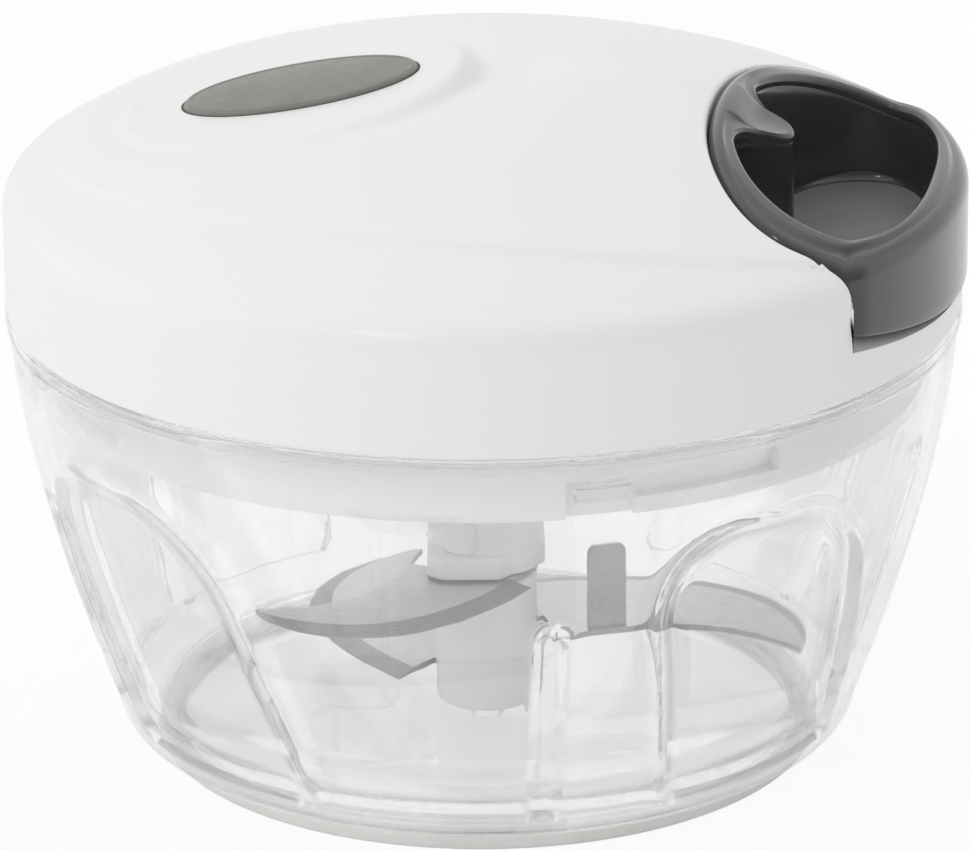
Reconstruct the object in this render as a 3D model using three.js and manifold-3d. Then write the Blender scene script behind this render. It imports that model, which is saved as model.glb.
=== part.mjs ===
// A hand pulled onion cutter: a clear bowl, a blade column and a lid that holds the cord reel.
// Millimetres, +Z up, origin at the centre of the base. The pull handle lies along +X.
import * as THREE from "three";
import { mergeVertices } from "three/addons/utils/BufferGeometryUtils.js";
import Module from "manifold-3d";

const wasm = await Module();
wasm.setup();

// Clearances
const gap = 0.3;
const overrun = 4;
const weldDistance = 0.0002;

// Bowl
const rimRadius = 62.6;
const rimTop = 60.2;
const footRadius = 44.3;
const beadHeight = 1.6;
const beadStep = 0.5;
const rimWall = 1.4;
const sealStepDepth = 1.4;
const bowlWall = 2.6;
const footSpread = 2.4;
const wallTaper = rimRadius - beadStep - footRadius - footSpread;
const wallTaperShare = 1.5;
const footRise = 2.3;
const footRound = 4.2;
const footTurnShare = 0.6;
const underside = 1.2;
const floorTop = 3.2;
const floorInset = 8.8;
const floorRadius = footRadius - floorInset;
const floorFillet = 11;
const panelDepth = 1.0;
const panelBulge = 0.8;
const panelDrop = 14.2;
const panelTop = rimTop - panelDrop;
const panelBottom = 5;
const panelTopRound = 12;
const panelFootRound = 4;
const panelEdge = 1.3;
const fluteDrop = 10;
const fluteTop = panelTop - fluteDrop;
const fluteWidth = 3.6;
const fluteDepth = 0.7;
const panelCount = 4;

// Angles round the bowl, in degrees from the handle
const panelMiddleAngle = -123.5;
const panelHalfAngle = 17.5;
const panelLean = -10.5;
const panelNarrowing = 2.5;
const fluteAngle = -72;
const filletDegrees = [30, 60, 90];

// Inner cover
const flangeRise = 1;
const flangeBottom = rimTop + flangeRise;
const flangeThickness = 1.2;
const skirtDrop = 9.3;
const skirtBottom = rimTop - skirtDrop;
const skirtClearance = 0.8;
const skirtRadius = wallAt(skirtBottom) - bowlWall - skirtClearance;
const skirtWall = 3.2;
const trayRise = 1.5;
const trayBottom = skirtBottom + trayRise;
const trayThickness = 1.8;
const bearingWall = 2.6;
const bearingHeight = 6;
const bearingTop = trayBottom + bearingHeight;

// Bayonet between the bowl and the inner cover
const lugAngle = -66;
const lugHalfAngle = 3.5;
const lugTurn = 20;
const lugHeight = 2;
const lugDrop = 6.6;
const lugBottom = rimTop - lugDrop;
const slotDepth = 1.5;
const slotSide = 0.4;
const slotSideAngle = 0.8;
const lugCount = 4;

// Foot ring and pivot pin
const footRingWidth = 2.8;
const footRingHeight = 2;
const pinRadius = 2.2;
const pinHeight = 9.8;
const pinTop = floorTop + pinHeight;
const pinSink = 1.3;

// Lid cover
const lidInset = 0.1;
const lidRadius = rimRadius - lidInset;
const lidBottom = rimTop + gap;
const lidWall = 2;
const lidSkirt = 15.5;
const shoulderHeight = lidBottom + lidSkirt;
const shoulderRound = 3.2;
const domeRise = 14.6;
const domeApex = shoulderHeight + domeRise;
const shoulderDrop = 2;
const domeDrop = domeRise - shoulderDrop;
const domeReachShare = 0.96;
const domeReach = domeReachShare * lidRadius;
const domeCurveShare = 2.34;
const creaseCentreShare = 0.08;
const creaseCentre = creaseCentreShare * lidRadius;
const creaseLengthShare = 0.992;
const creaseLength = creaseLengthShare * lidRadius;
const creaseWidthShare = 0.76;
const creaseWidth = creaseWidthShare * lidRadius;
const creaseRise = 0.4;
const islandCentreShare = 0.392;
const islandCentre = -islandCentreShare * lidRadius;
const islandRadiusShare = 0.384;
const islandRadius = islandRadiusShare * lidRadius;
const islandDrop = 3.4;
const islandHeight = domeApex - islandDrop;
const islandSlopeShare = 0.2;
const scoopSideShare = 0.048;
const scoopSide = scoopSideShare * lidRadius;
const scoopRadiusShare = 0.192;
const scoopRadius = scoopRadiusShare * lidRadius;
const scoopDepth = 1.1;
const scoopDegrees = 20;
const lidBossRadius = 3.6;
const lidBossPlaceShare = 0.72;
const lidBossPlace = lidBossPlaceShare * lidRadius;
const lidBossAngles = [68, 150, 210, 292];

// Badge
const badgeShift = 0.5;
const badgeCentre = islandCentre + badgeShift;
const badgeLengthShare = 1.2917;
const badgeLength = badgeLengthShare * islandRadius;
const badgeWidthShare = 0.8333;
const badgeWidth = badgeWidthShare * islandRadius;
const badgeThickness = 1.8;
const badgeStandOff = 0.4;

// Pull handle and its pocket
const handleNoseShare = 0.4992;
const handleNose = handleNoseShare * lidRadius;
const handleHalfShare = 0.5392;
const handleHalf = handleHalfShare * lidRadius;
const handleProud = 0.6;
const handleFace = lidRadius + handleProud;
const handleFlankShare = 0.44;
const handleCornerShare = 0.05;
const handleLift = 4.1;
const handleBottom = lidBottom + handleLift;
const handleBottomRise = 4.2;
const handleFloorLift = 8.5;
const handleFloorTop = lidBottom + handleFloorLift;
const handleFloor = 2.2;
const handleNoseWall = 3.3;
const handleOpeningNose = handleNose + handleNoseWall;
const handleFlankWall = 8.2;
const handleOpeningHalf = handleHalf - handleFlankWall;
const handleFaceWall = 5.1;
const handleOpeningFace = handleFace - handleFaceWall;
const openingFlankShare = 0.3;
const openingCornerShare = 0.18;
const pocketClearance = 0.5;
const pocketWall = 1.8;
const pocketLift = 3.6;
const pocketFloorTop = lidBottom + pocketLift;
const pocketFloor = 1.3;
const pocketRise = 1.3;
const postRadius = 4.2;
const postPlace = handleOpeningNose + postRadius;
const postBore = 2.6;
const tongueDepth = 4;

// Seal
const sealThickness = 1.8;

// Drive hub and clutch
const hubRadius = 7.8;
const hubDrop = 3.6;
const hubBottom = trayBottom - hubDrop;
const ratchetTip = 13;
const hubFlangeEdge = 1;
const hubFlangeRadius = ratchetTip + hubFlangeEdge;
const hubFlange = 2;
const toothDepth = 1.8;
const ratchetRoot = ratchetTip - toothDepth;
const ratchetHeight = 3;
const ratchetTeeth = 12;
const toothDropShare = 0.06;
const dogCore = 4.2;
const dogReach = 5.6;
const dogLength = 6.8;
const dogAngle = 25;
const dogPlayAngle = 2;
const pawlStandOff = 4;
const pawlPlace = ratchetTip + pawlStandOff;
const pawlLagAngle = 34.4;
const pawlTipAngle = 1.6;
const pawlEye = 2.8;
const pawlBarWidth = 1.2;
const pawlThickness = 1.8;
const pegRadius = 1.4;
const pawlCount = 2;

// Cord
const cordDiameter = 1.4;
const cordPitch = 1.7;
const cordTurns = 2.5;
const knotRadius = 2.2;
const guideBore = 1.2;
const guideBody = 2.2;
const guideFlange = 3.4;
const guideFlangeThickness = 1.1;

// Reel, spring and axle
const axleRadius = 2.5;
const axleRise = 2.6;
const axleBottom = trayBottom + axleRise;
const axleDrop = 5;
const axleTop = domeApex - axleDrop;
const reelRoom = 5.2;
const reelFlangeRadius = handleNose - reelRoom;
const reelRise = 6.8;
const reelBottom = bearingTop + reelRise;
const reelFlange = 1.5;
const reelFlangeDepth = 5.4;
const reelDrumRadius = reelFlangeRadius - reelFlangeDepth;
const reelDrumHeight = 8.1;
const reelDrumWall = 3.2;
const reelBossRadius = 5.4;
const springFloorRise = 4.3;
const springInner = 6.6;
const springTurns = 4;
const springStrip = 0.5;
const springHeight = 5;
const springCoverThickness = 1.2;
const topBossRadius = 5;

// The cord leaves above its wound turns and meets the eyelet a little lower
const cordLeadHeight = reelBottom + reelFlange + reelDrumHeight - cordDiameter / 2 - gap;
const cordTopHeight = cordLeadHeight - cordDiameter - gap;
const cordFall = 0.5;
const cordHeight = cordLeadHeight - cordFall;

// Screws
const screwShank = 1.3;
const screwLength = 10;
const screwHeadRadius = 2.8;
const screwHead = 1.1;
const screwCrownShare = 0.7;

// Blade column
const spindleRadius = 6.75;
const spindleRise = 0.8;
const spindleBottom = floorTop + spindleRise;
const columnEdge = 0.8;
const bladeThickness = 0.8;
const bladeEdgeThickness = 0.15;
const bladeEyeRadius = 6.4;
const tangWidth = 7;
const tangInset = 1;
const bevelShare = 0.3;
const lowerBladeRise = 3.6;
const lowerBladeHeight = spindleBottom + lowerBladeRise;
const middleBladeRise = 7;
const middleBladeHeight = lowerBladeHeight + middleBladeRise;
const upperBladeRise = 7.6;
const upperBladeHeight = middleBladeHeight + upperBladeRise;
const spindleTop = upperBladeHeight - gap;
const stubRadius = 4;
const stubRise = 6.8;
const stubTop = upperBladeHeight + stubRise;
const collarRadius = 7.7;
const collarFlangeRadius = 9.2;
const collarFlange = 3.2;
const hubPlay = 0.4;
const collarTop = hubBottom - hubPlay;
const socketRadius = 6.1;
const socketRib = 4.6;
const socketDepth = 7.4;
const collarBlock = 4.6;
const blockProud = 0.8;
const blockAngle = -107;
const upperReachShare = 0.7675;
const upperBladeReach = upperReachShare * footRadius;
const middleReachShare = 0.9707;
const middleBladeReach = middleReachShare * footRadius;
const lowerReachShare = 0.9255;
const lowerBladeReach = lowerReachShare * footRadius;
const upperBladeAngle = -141;
const middleBladeAngle = -8;
const lowerBladeAngle = 113;

// Blade outline: shares of its reach, along the blade and across it
const cutStartShare = -0.03;
const backStartShare = 0.28;
const tipShare = 1.005;
const cutPeakShare = 0.55;
const cutWidthShare = 0.47;
const cutRootShare = 0.5;
const cutNoseShare = 0.46;
const backPeakShare = 0.72;
const backWidthShare = 0.105;
const backRootShare = 1.05;
const backNoseShare = 0.29;
const bladeTipShare = 0.012;
const tangAngle = 36;

// The fin that stands on the middle blade's back
const finStartShare = 0.35;
const finEndShare = 0.45;
const finHeight = 11.6;
const finInset = 0.5;
const finCorner = 1.2;

// Facets
const roundSegments = 48;
const smallSegments = 16;
const ringSegments = 32;
const reelSegments = 36;
const sagSegments = 160;
const springSteps = 20;
const cordSteps = 24;
const cordSides = 6;
const leadSides = 8;
const slotSteps = 8;
const domeSteps = 9;
const flankSteps = 11;
const faceSteps = 14;
const cornerSteps = 5;
const bladeSteps = 12;

const radians = THREE.MathUtils.degToRad;

// Turns any closed three.js geometry into one welded mesh whose faces point out.
function weld(geometry) {
  const bare = geometry.clone();
  bare.deleteAttribute("normal");
  bare.deleteAttribute("uv");
  const merged = mergeVertices(bare, weldDistance);
  const place = merged.attributes.position;
  const corners = merged.index.array;
  const a = new THREE.Vector3();
  const b = new THREE.Vector3();
  const c = new THREE.Vector3();
  const kept = [];
  let volume = 0;
  for (let i = 0; i < corners.length; i += 3) {
    const [p, q, r] = [corners[i], corners[i + 1], corners[i + 2]];
    if (p === q || q === r || r === p) continue;
    kept.push([p, q, r]);
    a.fromBufferAttribute(place, p);
    b.fromBufferAttribute(place, q);
    c.fromBufferAttribute(place, r);
    volume += a.dot(b.cross(c));
  }
  const index = kept.flatMap(([p, q, r]) => (volume > 0 ? [p, q, r] : [p, r, q]));
  const welded = new THREE.BufferGeometry();
  welded.setAttribute("position", place.clone());
  welded.setIndex(index);
  return welded;
}

// A solid that can be joined and cut.
function solid(geometry) {
  const welded = weld(geometry);
  return new wasm.Manifold(new wasm.Mesh({
    numProp: 3,
    vertProperties: new Float32Array(welded.attributes.position.array),
    triVerts: new Uint32Array(welded.index.array),
  }));
}

// The geometry of a joined or cut solid.
function geometryOf(shape) {
  const mesh = shape.getMesh();
  const geometry = new THREE.BufferGeometry();
  geometry.setAttribute("position", new THREE.BufferAttribute(new Float32Array(mesh.vertProperties), 3));
  geometry.setIndex(new THREE.BufferAttribute(new Uint32Array(mesh.triVerts), 1));
  return geometry;
}

// A profile of [radius, height] points turned round the vertical axis.
function revolve(profile, segments = roundSegments) {
  const points = profile.map(([r, z]) => new THREE.Vector2(r, z));
  return solid(new THREE.LatheGeometry(points, segments).rotateX(Math.PI / 2));
}

// A ring with a rectangular section.
function ring(inner, outer, bottom, top, segments = roundSegments) {
  return revolve([[inner, bottom], [outer, bottom], [outer, top], [inner, top], [inner, bottom]], segments);
}

// An upright round bar.
function rod(radius, bottom, top, x = 0, y = 0, segments = smallSegments) {
  const bar = new THREE.CylinderGeometry(radius, radius, top - bottom, segments).rotateX(Math.PI / 2);
  return solid(bar.translate(x, y, (top + bottom) / 2));
}

// A round bar along X.
function barAlongX(radius, start, end, y, z, segments = smallSegments) {
  const bar = new THREE.CylinderGeometry(radius, radius, end - start, segments).rotateZ(Math.PI / 2);
  return solid(bar.translate((start + end) / 2, y, z));
}

// A box between two corners.
function block(x0, x1, y0, y1, z0, z1) {
  const box = new THREE.BoxGeometry(x1 - x0, y1 - y0, z1 - z0);
  return solid(box.translate((x0 + x1) / 2, (y0 + y1) / 2, (z0 + z1) / 2));
}

// A flat outline of [x, y] points raised from one height to another.
function prism(points, bottom, top) {
  const shape = new THREE.Shape(points.map(([x, y]) => new THREE.Vector2(x, y)));
  const body = new THREE.ExtrudeGeometry(shape, { depth: top - bottom, bevelEnabled: false });
  return solid(body.translate(0, 0, bottom));
}

// The point at a radius and an angle in degrees.
function pointAt(radius, angle) {
  return [radius * Math.cos(radians(angle)), radius * Math.sin(radians(angle))];
}

// Points of an arc about the axis, angles in degrees.
function arc(radius, from, to, steps) {
  return Array.from({ length: steps + 1 }, (_, i) => pointAt(radius, from + ((to - from) * i) / steps));
}

// A wedge of a ring between two angles.
function sector(inner, outer, from, to, bottom, top, steps = 4) {
  return prism([...arc(outer, from, to, steps), ...arc(inner, to, from, steps)], bottom, top);
}

// Points of an ellipse on the X axis.
function ellipse(centre, halfLength, halfWidth, steps = ringSegments) {
  return Array.from({ length: steps }, (_, i) => {
    const angle = (2 * Math.PI * i) / steps;
    return [centre + halfLength * Math.cos(angle), halfWidth * Math.sin(angle)];
  });
}

// Joins closed loops of equal count into one skin, with a fan over each end.
function skin(loops) {
  const count = loops[0].length;
  const place = loops.flat().flatMap((p) => [p.x, p.y, p.z]);
  const index = [];
  for (let i = 0; i + 1 < loops.length; i += 1) {
    for (let j = 0; j < count; j += 1) {
      const k = (j + 1) % count;
      const [a, b, c, d] = [i * count + j, i * count + k, (i + 1) * count + k, (i + 1) * count + j];
      index.push(a, b, c, a, c, d);
    }
  }
  const last = (loops.length - 1) * count;
  for (let j = 1; j + 1 < count; j += 1) {
    index.push(0, j + 1, j);
    index.push(last, last + j, last + j + 1);
  }
  const geometry = new THREE.BufferGeometry();
  geometry.setAttribute("position", new THREE.Float32BufferAttribute(place, 3));
  geometry.setIndex(index);
  return geometry;
}

// A smooth step from 1 inside to 0 outside, over a width each way.
function fade(distance, width) {
  return 1 - THREE.MathUtils.smoothstep(distance, -width, width);
}

// Height of the lid's dome over a radius.
function domeAt(radius, apex = domeApex) {
  return apex - domeDrop * (radius / domeReach) ** domeCurveShare;
}

// Radius of the bowl's outer wall at a height.
function wallAt(z) {
  const height = rimTop - beadHeight;
  return rimRadius - beadStep - wallTaper * Math.max(0, 1 - z / height) ** wallTaperShare;
}

// How deep a window panel is pressed at a height and angle: 1 in the panel, 0 outside.
function panelMask(z, offAngle, halfAngle) {
  const radius = wallAt(z);
  const half = radius * radians(halfAngle);
  const along = Math.abs(radius * radians(offAngle));
  const middle = (panelTop + panelBottom) / 2;
  const round = z > middle ? panelTopRound : panelFootRound;
  const dx = along - (half - round);
  const dz = Math.abs(z - middle) - ((panelTop - panelBottom) / 2 - round);
  const outside = Math.hypot(Math.max(dx, 0), Math.max(dz, 0)) + Math.min(Math.max(dx, dz), 0) - round;
  return fade(outside, panelEdge);
}

// How deep the upright flute is pressed at a height and angle.
function fluteMask(z, offAngle) {
  const along = Math.abs(wallAt(z) * radians(offAngle));
  const above = Math.max(0, z - (fluteTop - fluteWidth / 2), panelBottom - z);
  return fade(Math.hypot(along, above) - fluteWidth / 2, fluteWidth / 4);
}

// The columns of the bowl's wall in one quarter, at a height: the angle, and its panel and flute masks.
function bowlColumns(z) {
  const climb = THREE.MathUtils.clamp(z / panelTop, 0, 1);
  const middle = panelMiddleAngle + panelLean * climb;
  const half = panelHalfAngle - panelNarrowing * climb;
  const panelShares = [-1.1, -1, -0.9, -0.45, 0, 0.45, 0.9, 1, 1.1];
  const fluteShares = [-1.3, -0.8, 0, 0.8, 1.3];
  const spread = THREE.MathUtils.radToDeg(fluteWidth / 2 / wallAt(z));
  const quarter = 360 / panelCount;
  const columns = panelShares.map((s) => middle + s * half);
  const flutes = fluteShares.map((s) => fluteAngle + s * spread);
  const next = columns[0] + quarter;
  const plainShares = [0.25, 0.5, 0.75];
  columns.push(...plainShares.map((s) => THREE.MathUtils.lerp(columns.at(-1), flutes[0], s)), ...flutes);
  columns.push(THREE.MathUtils.lerp(flutes.at(-1), next, plainShares[1]));
  return columns.map((angle) => ({
    angle,
    panel: panelMask(z, angle - middle, half),
    flute: fluteMask(z, angle - fluteAngle),
  }));
}

// One ring of the bowl at a height, its radius drawn in by the panels and flutes.
function bowlRing(radius, z, depth, flute) {
  const columns = bowlColumns(z);
  const loop = [];
  for (let k = 0; k < panelCount; k += 1) {
    for (const column of columns) {
      const angle = radians(column.angle + (360 * k) / panelCount);
      const r = radius - depth * column.panel - flute * column.flute;
      loop.push(new THREE.Vector3(r * Math.cos(angle), r * Math.sin(angle), z));
    }
  }
  return loop;
}

// The clear bowl, its bayonet lugs and the blind hole for the pivot pin.
function makeBowl() {
  const wallFoot = footRise + footRound;
  const heightShares = [0, 0.14, 0.32, 0.5, 0.64, 0.73, 0.79, 0.85];
  const rise = rimTop - beadHeight - wallFoot;
  const outerHeights = heightShares.map((s) => wallFoot + s * rise);
  const loops = [
    bowlRing(footRadius - footRingWidth - 2 * gap, underside, 0, 0),
    bowlRing(footRadius - footRingWidth - 2 * gap, footRise, 0, 0),
    bowlRing(footRadius, footRise, 0, 0),
    bowlRing(THREE.MathUtils.lerp(footRadius, wallAt(wallFoot), footTurnShare), footRise + footRound / 4, 0, 0),
  ];
  for (const z of outerHeights) loops.push(bowlRing(wallAt(z), z, panelDepth, fluteDepth));
  const beadBottom = rimTop - beadHeight;
  loops.push(bowlRing(wallAt(beadBottom), beadBottom, 0, 0));
  loops.push(bowlRing(rimRadius, beadBottom + gap, 0, 0));
  loops.push(bowlRing(rimRadius, rimTop, 0, 0));
  loops.push(bowlRing(rimRadius - rimWall, rimTop, 0, 0));
  loops.push(bowlRing(rimRadius - rimWall, rimTop - sealStepDepth, 0, 0));
  const innerRim = wallAt(rimTop) - bowlWall;
  loops.push(bowlRing(innerRim, rimTop - sealStepDepth, 0, 0));
  const innerFoot = floorTop + floorFillet;
  const innerRise = rimTop - sealStepDepth - innerFoot;
  const innerShares = [0.82, 0.74, 0.64, 0.46, 0.22, 0];
  for (const s of innerShares) {
    const z = innerFoot + s * innerRise;
    loops.push(bowlRing(wallAt(z) - bowlWall, z, panelBulge, 0));
  }
  const reach = wallAt(innerFoot) - bowlWall - floorRadius;
  for (const degrees of filletDegrees) {
    const angle = radians(degrees);
    const radius = floorRadius + reach * Math.cos(angle);
    const z = innerFoot - floorFillet * Math.sin(angle);
    loops.push(bowlRing(radius, z, panelBulge * Math.cos(angle), 0));
  }
  let bowl = solid(skin(loops));
  for (let k = 0; k < lugCount; k += 1) {
    const middle = lugAngle + (360 * k) / lugCount;
    const inner = skirtRadius - slotDepth + 2 * gap;
    const lug = sector(inner, innerRim + bowlWall / 3, middle - lugHalfAngle, middle + lugHalfAngle,
      lugBottom, lugBottom + lugHeight);
    bowl = bowl.add(lug);
  }
  return bowl.subtract(rod(pinRadius + gap, floorTop - pinSink - gap, floorTop + overrun));
}

// The soft ring that the bowl stands on.
function makeFootRing() {
  const outer = footRadius - gap;
  const inner = outer - footRingWidth;
  const edge = footRingHeight / 4;
  return revolve([[inner, 0], [outer - edge, 0], [outer, edge], [outer, footRingHeight],
    [inner, footRingHeight], [inner, 0]]);
}

// The steel pin on which the blades turn.
function makePivotPin() {
  const tip = pinRadius / 2;
  const bottom = floorTop - pinSink;
  return revolve([[0, bottom], [pinRadius, bottom], [pinRadius, pinTop - tip], [tip, pinTop], [0, pinTop]],
    smallSegments);
}

// One curved flank of the shield, from the nose to just before its corner.
function flankPoints(nose, half, face, flankShare, cornerShare) {
  const length = Math.sqrt(face * face - half * half) - nose;
  return Array.from({ length: flankSteps }, (_, i) => {
    const t = ((i + 1) / flankSteps) * (1 - cornerShare);
    return [nose + length * t * t, half * t ** (2 * flankShare)];
  });
}

// The shield outline of the handle and of its opening: two flanks, two round corners and the face.
function shieldOutline(nose, half, face, flankShare, cornerShare) {
  const flank = flankPoints(nose, half, face, flankShare, cornerShare);
  const reach = THREE.MathUtils.radToDeg(Math.asin(half / face)) * (1 - cornerShare);
  const front = arc(face, -reach, reach, faceSteps);
  const corner = new THREE.QuadraticBezierCurve(
    new THREE.Vector2(...flank.at(-1)),
    new THREE.Vector2(Math.sqrt(face * face - half * half), half),
    new THREE.Vector2(...front.at(-1)),
  ).getPoints(cornerSteps).slice(1, -1).map((p) => [p.x, p.y]);
  const upper = [...flank, ...corner];
  return [[nose, 0], ...upper.map(([x, y]) => [x, -y]), ...front, ...upper.reverse()];
}

// The solid under the lid's dome, out to a radius, with its rounded shoulder.
function underDome(radius, bottom, lift = 0) {
  const shoulder = radius - shoulderRound;
  const profile = [[0, bottom], [radius, bottom], [radius, shoulderHeight + lift - shoulderRound / 2]];
  const middle = [radius - shoulderRound / 4, shoulderHeight + lift + shoulderRound / 4];
  profile.push(middle);
  for (let i = domeSteps; i >= 0; i -= 1) {
    const r = (shoulder * i) / domeSteps;
    profile.push([r, domeAt(r) + lift]);
  }
  return revolve(profile);
}

// A plane tilted along X that passes below everything to keep, as a thick slab's body.
function belowPlane(centre, height, slopeShare, reach) {
  const slab = new THREE.BoxGeometry(2 * reach, 2 * reach, reach);
  slab.translate(0, 0, -reach / 2).rotateY(-Math.atan(slopeShare)).translate(centre, 0, height);
  return solid(slab);
}

// A long bar along X whose round underside gives a sagging lower edge.
function saggingEdge(half, rise, bottom) {
  const radius = (half * half + rise * rise) / (2 * rise);
  return barAlongX(radius, 0, lidRadius + 3 * overrun, 0, bottom + radius, sagSegments);
}

// The oval badge's seat, or the badge itself when nothing is added.
function badgeBody(extra, sink, stand) {
  const outline = ellipse(0, badgeLength / 2 + extra, badgeWidth / 2 + extra);
  const shape = new THREE.Shape(outline.map(([x, y]) => new THREE.Vector2(x, y)));
  const body = new THREE.ExtrudeGeometry(shape, { depth: sink + stand, bevelEnabled: false });
  const height = islandHeight + islandSlopeShare * (badgeCentre - islandCentre);
  body.translate(0, 0, -sink).rotateY(-Math.atan(islandSlopeShare)).translate(badgeCentre, 0, height);
  return solid(body);
}

// The round column that bounds the island, from a height up through the dome.
function islandColumn(bottom) {
  return rod(islandRadius, bottom, domeApex + overrun, islandCentre, 0, ringSegments);
}

// What the shallow scoop beside the island takes away.
function scoopCut() {
  const ball = (scoopRadius ** 2 + scoopDepth ** 2) / (2 * scoopDepth);
  const height = domeAt(creaseCentre) + ball - scoopDepth;
  const profile = arc(ball, -90, scoopDegrees - 90, cornerSteps).map(([r, z]) => [Math.max(0, r), z + height]);
  return revolve([...profile, [0, profile.at(-1)[1]]], ringSegments).translate([creaseCentre, scoopSide, 0]);
}

// The outside of the lid: dome, raised oval field, scoop and sloping island.
function lidOutside() {
  const high = domeApex + overrun;
  const field = prism(ellipse(creaseCentre, creaseLength, creaseWidth, roundSegments), shoulderHeight, high);
  const island = islandColumn(lidBottom).intersect(
    belowPlane(islandCentre, islandHeight, islandSlopeShare, 2 * lidRadius));
  return underDome(lidRadius, lidBottom)
    .add(field.intersect(underDome(lidRadius, lidBottom, creaseRise)))
    .subtract(scoopCut())
    .subtract(islandColumn(shoulderHeight))
    .add(island);
}

// The hollow inside the lid, a wall's thickness under its outside and under the badge's seat.
function lidHollow() {
  const inside = underDome(lidRadius - lidWall, lidBottom - overrun, -lidWall);
  const underIsland = islandColumn(lidBottom).intersect(
    belowPlane(islandCentre, islandHeight - badgeThickness - lidWall, islandSlopeShare, 2 * lidRadius));
  return inside.subtract(islandColumn(shoulderHeight)).add(underIsland.intersect(inside));
}

// The bosses inside the lid: one for the axle and one for each screw.
function lidBosses() {
  const high = domeApex + overrun;
  let bosses = rod(topBossRadius, topBossBottom(), high);
  for (const angle of lidBossAngles) {
    bosses = bosses.add(rod(lidBossRadius, trayBottom + trayThickness + gap, high, ...pointAt(lidBossPlace, angle)));
  }
  return bosses.intersect(underDome(lidRadius, lidBottom - 3 * overrun, -lidWall / 2));
}

// The walls and the floor of the handle's pocket, before the pocket is cut.
function pocketBlock() {
  const wide = pocketClearance + pocketWall;
  const outline = shieldOutline(handleNose - wide, handleHalf + wide, lidRadius + overrun, handleFlankShare, 0);
  return prism(outline, pocketFloorTop - pocketFloor, domeApex + overrun)
    .intersect(underDome(lidRadius, lidBottom));
}

// The pocket: the handle's outline, out through the skirt and down to its sagging floor.
function pocketCut() {
  const cutHalf = handleHalf + pocketClearance;
  const nose = handleNose - pocketClearance;
  const flank = flankPoints(nose, cutHalf, lidRadius, handleFlankShare, 0);
  const far = lidRadius + overrun;
  const cut = [[nose, 0], ...flank.map(([x, y]) => [x, -y]), [far, -cutHalf], [far, cutHalf], ...flank.reverse()];
  return prism(cut, lidBottom, domeApex + overrun)
    .intersect(saggingEdge(handleHalf, pocketRise, pocketFloorTop));
}

// The white lid with its pocket, the badge's seat and the holes for the axle, the eyelet and the screws.
function makeLidCover() {
  const guideStart = handleNose - pocketClearance - pocketWall - overrun;
  let lid = lidOutside().subtract(lidHollow()).add(lidBosses()).add(pocketBlock())
    .subtract(pocketCut())
    .subtract(barAlongX(guideBody + gap, guideStart, handleNose + overrun, 0, cordHeight))
    .subtract(badgeBody(gap, badgeThickness + gap, overrun))
    .subtract(rod(axleRadius + gap, topBossBottom() - overrun, axleTop + gap));
  for (const angle of lidBossAngles) {
    const [x, y] = pointAt(lidBossPlace, angle);
    lid = lid.subtract(rod(screwShank + gap, trayBottom, trayBottom + screwLength + overrun, x, y));
  }
  return lid;
}

// The lowest face of the boss that holds the axle, just over the spring cover.
function topBossBottom() {
  return reelBottom + 2 * reelFlange + reelDrumHeight + gap + springCoverThickness + gap;
}

// The grey oval badge, plain.
function makeBadge() {
  return badgeBody(0, badgeThickness, badgeStandOff);
}

// The pull handle: a shield shaped cup with a tongue and a hollow post for the cord's knot.
function makePullHandle() {
  const high = domeApex + overrun;
  const outline = shieldOutline(handleNose, handleHalf, handleFace, handleFlankShare, handleCornerShare);
  const opening = shieldOutline(handleOpeningNose, handleOpeningHalf, handleOpeningFace,
    openingFlankShare, openingCornerShare);
  const cap = underDome(handleFace, lidBottom, 0);
  let handle = prism(outline, lidBottom, high).intersect(cap)
    .intersect(saggingEdge(handleHalf, handleBottomRise, handleBottom));
  const hollow = prism(opening, handleFloorTop, high).add(
    prism(opening, lidBottom - overrun, handleFloorTop - handleFloor));
  const postTop = domeAt(postPlace);
  const post = rod(postRadius, handleBottom + gap, postTop, postPlace, 0);
  const tongue = block(handleNose, postPlace, -postRadius, postRadius, postTop - tongueDepth, high);
  const anchor = block(handleNose, postPlace, -postRadius / 2, postRadius / 2, handleBottom + gap, high);
  const column = post.add(tongue).add(anchor).intersect(prism(outline, lidBottom, high)).intersect(cap);
  handle = handle.subtract(hollow).add(column);
  const cavity = rod(postBore, lidBottom - overrun, cordHeight + knotRadius + 2 * gap, postPlace, 0);
  const cordHole = barAlongX(cordDiameter / 2 + gap, handleNose - overrun, postPlace, 0, cordHeight);
  return handle.subtract(cavity).subtract(cordHole);
}

// The knot that holds the cord in the handle's post: a ball with a waist.
function makeCordKnot() {
  const ball = new THREE.SphereGeometry(knotRadius, smallSegments, smallSegments / 2);
  return solid(ball.translate(postPlace, 0, cordHeight));
}

// The straight end of the cord, from inside the eyelet to the knot.
function makePullCord() {
  return barAlongX(cordDiameter / 2, handleNose - pocketClearance - pocketWall - guideFlangeThickness,
    postPlace - knotRadius - gap, 0, cordHeight, leadSides);
}

// Where the cord leaves the drum, just above its wound turns, and where it meets the eyelet.
function cordLead() {
  const winding = reelDrumRadius + gap + cordDiameter / 2;
  const eyelet = handleNose - pocketClearance - pocketWall - guideFlangeThickness - cordDiameter / 2;
  const angle = -Math.acos(winding / eyelet);
  const start = new THREE.Vector3(winding * Math.cos(angle), winding * Math.sin(angle), cordLeadHeight);
  return { winding, angle, start, end: new THREE.Vector3(eyelet, 0, cordHeight) };
}

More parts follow.
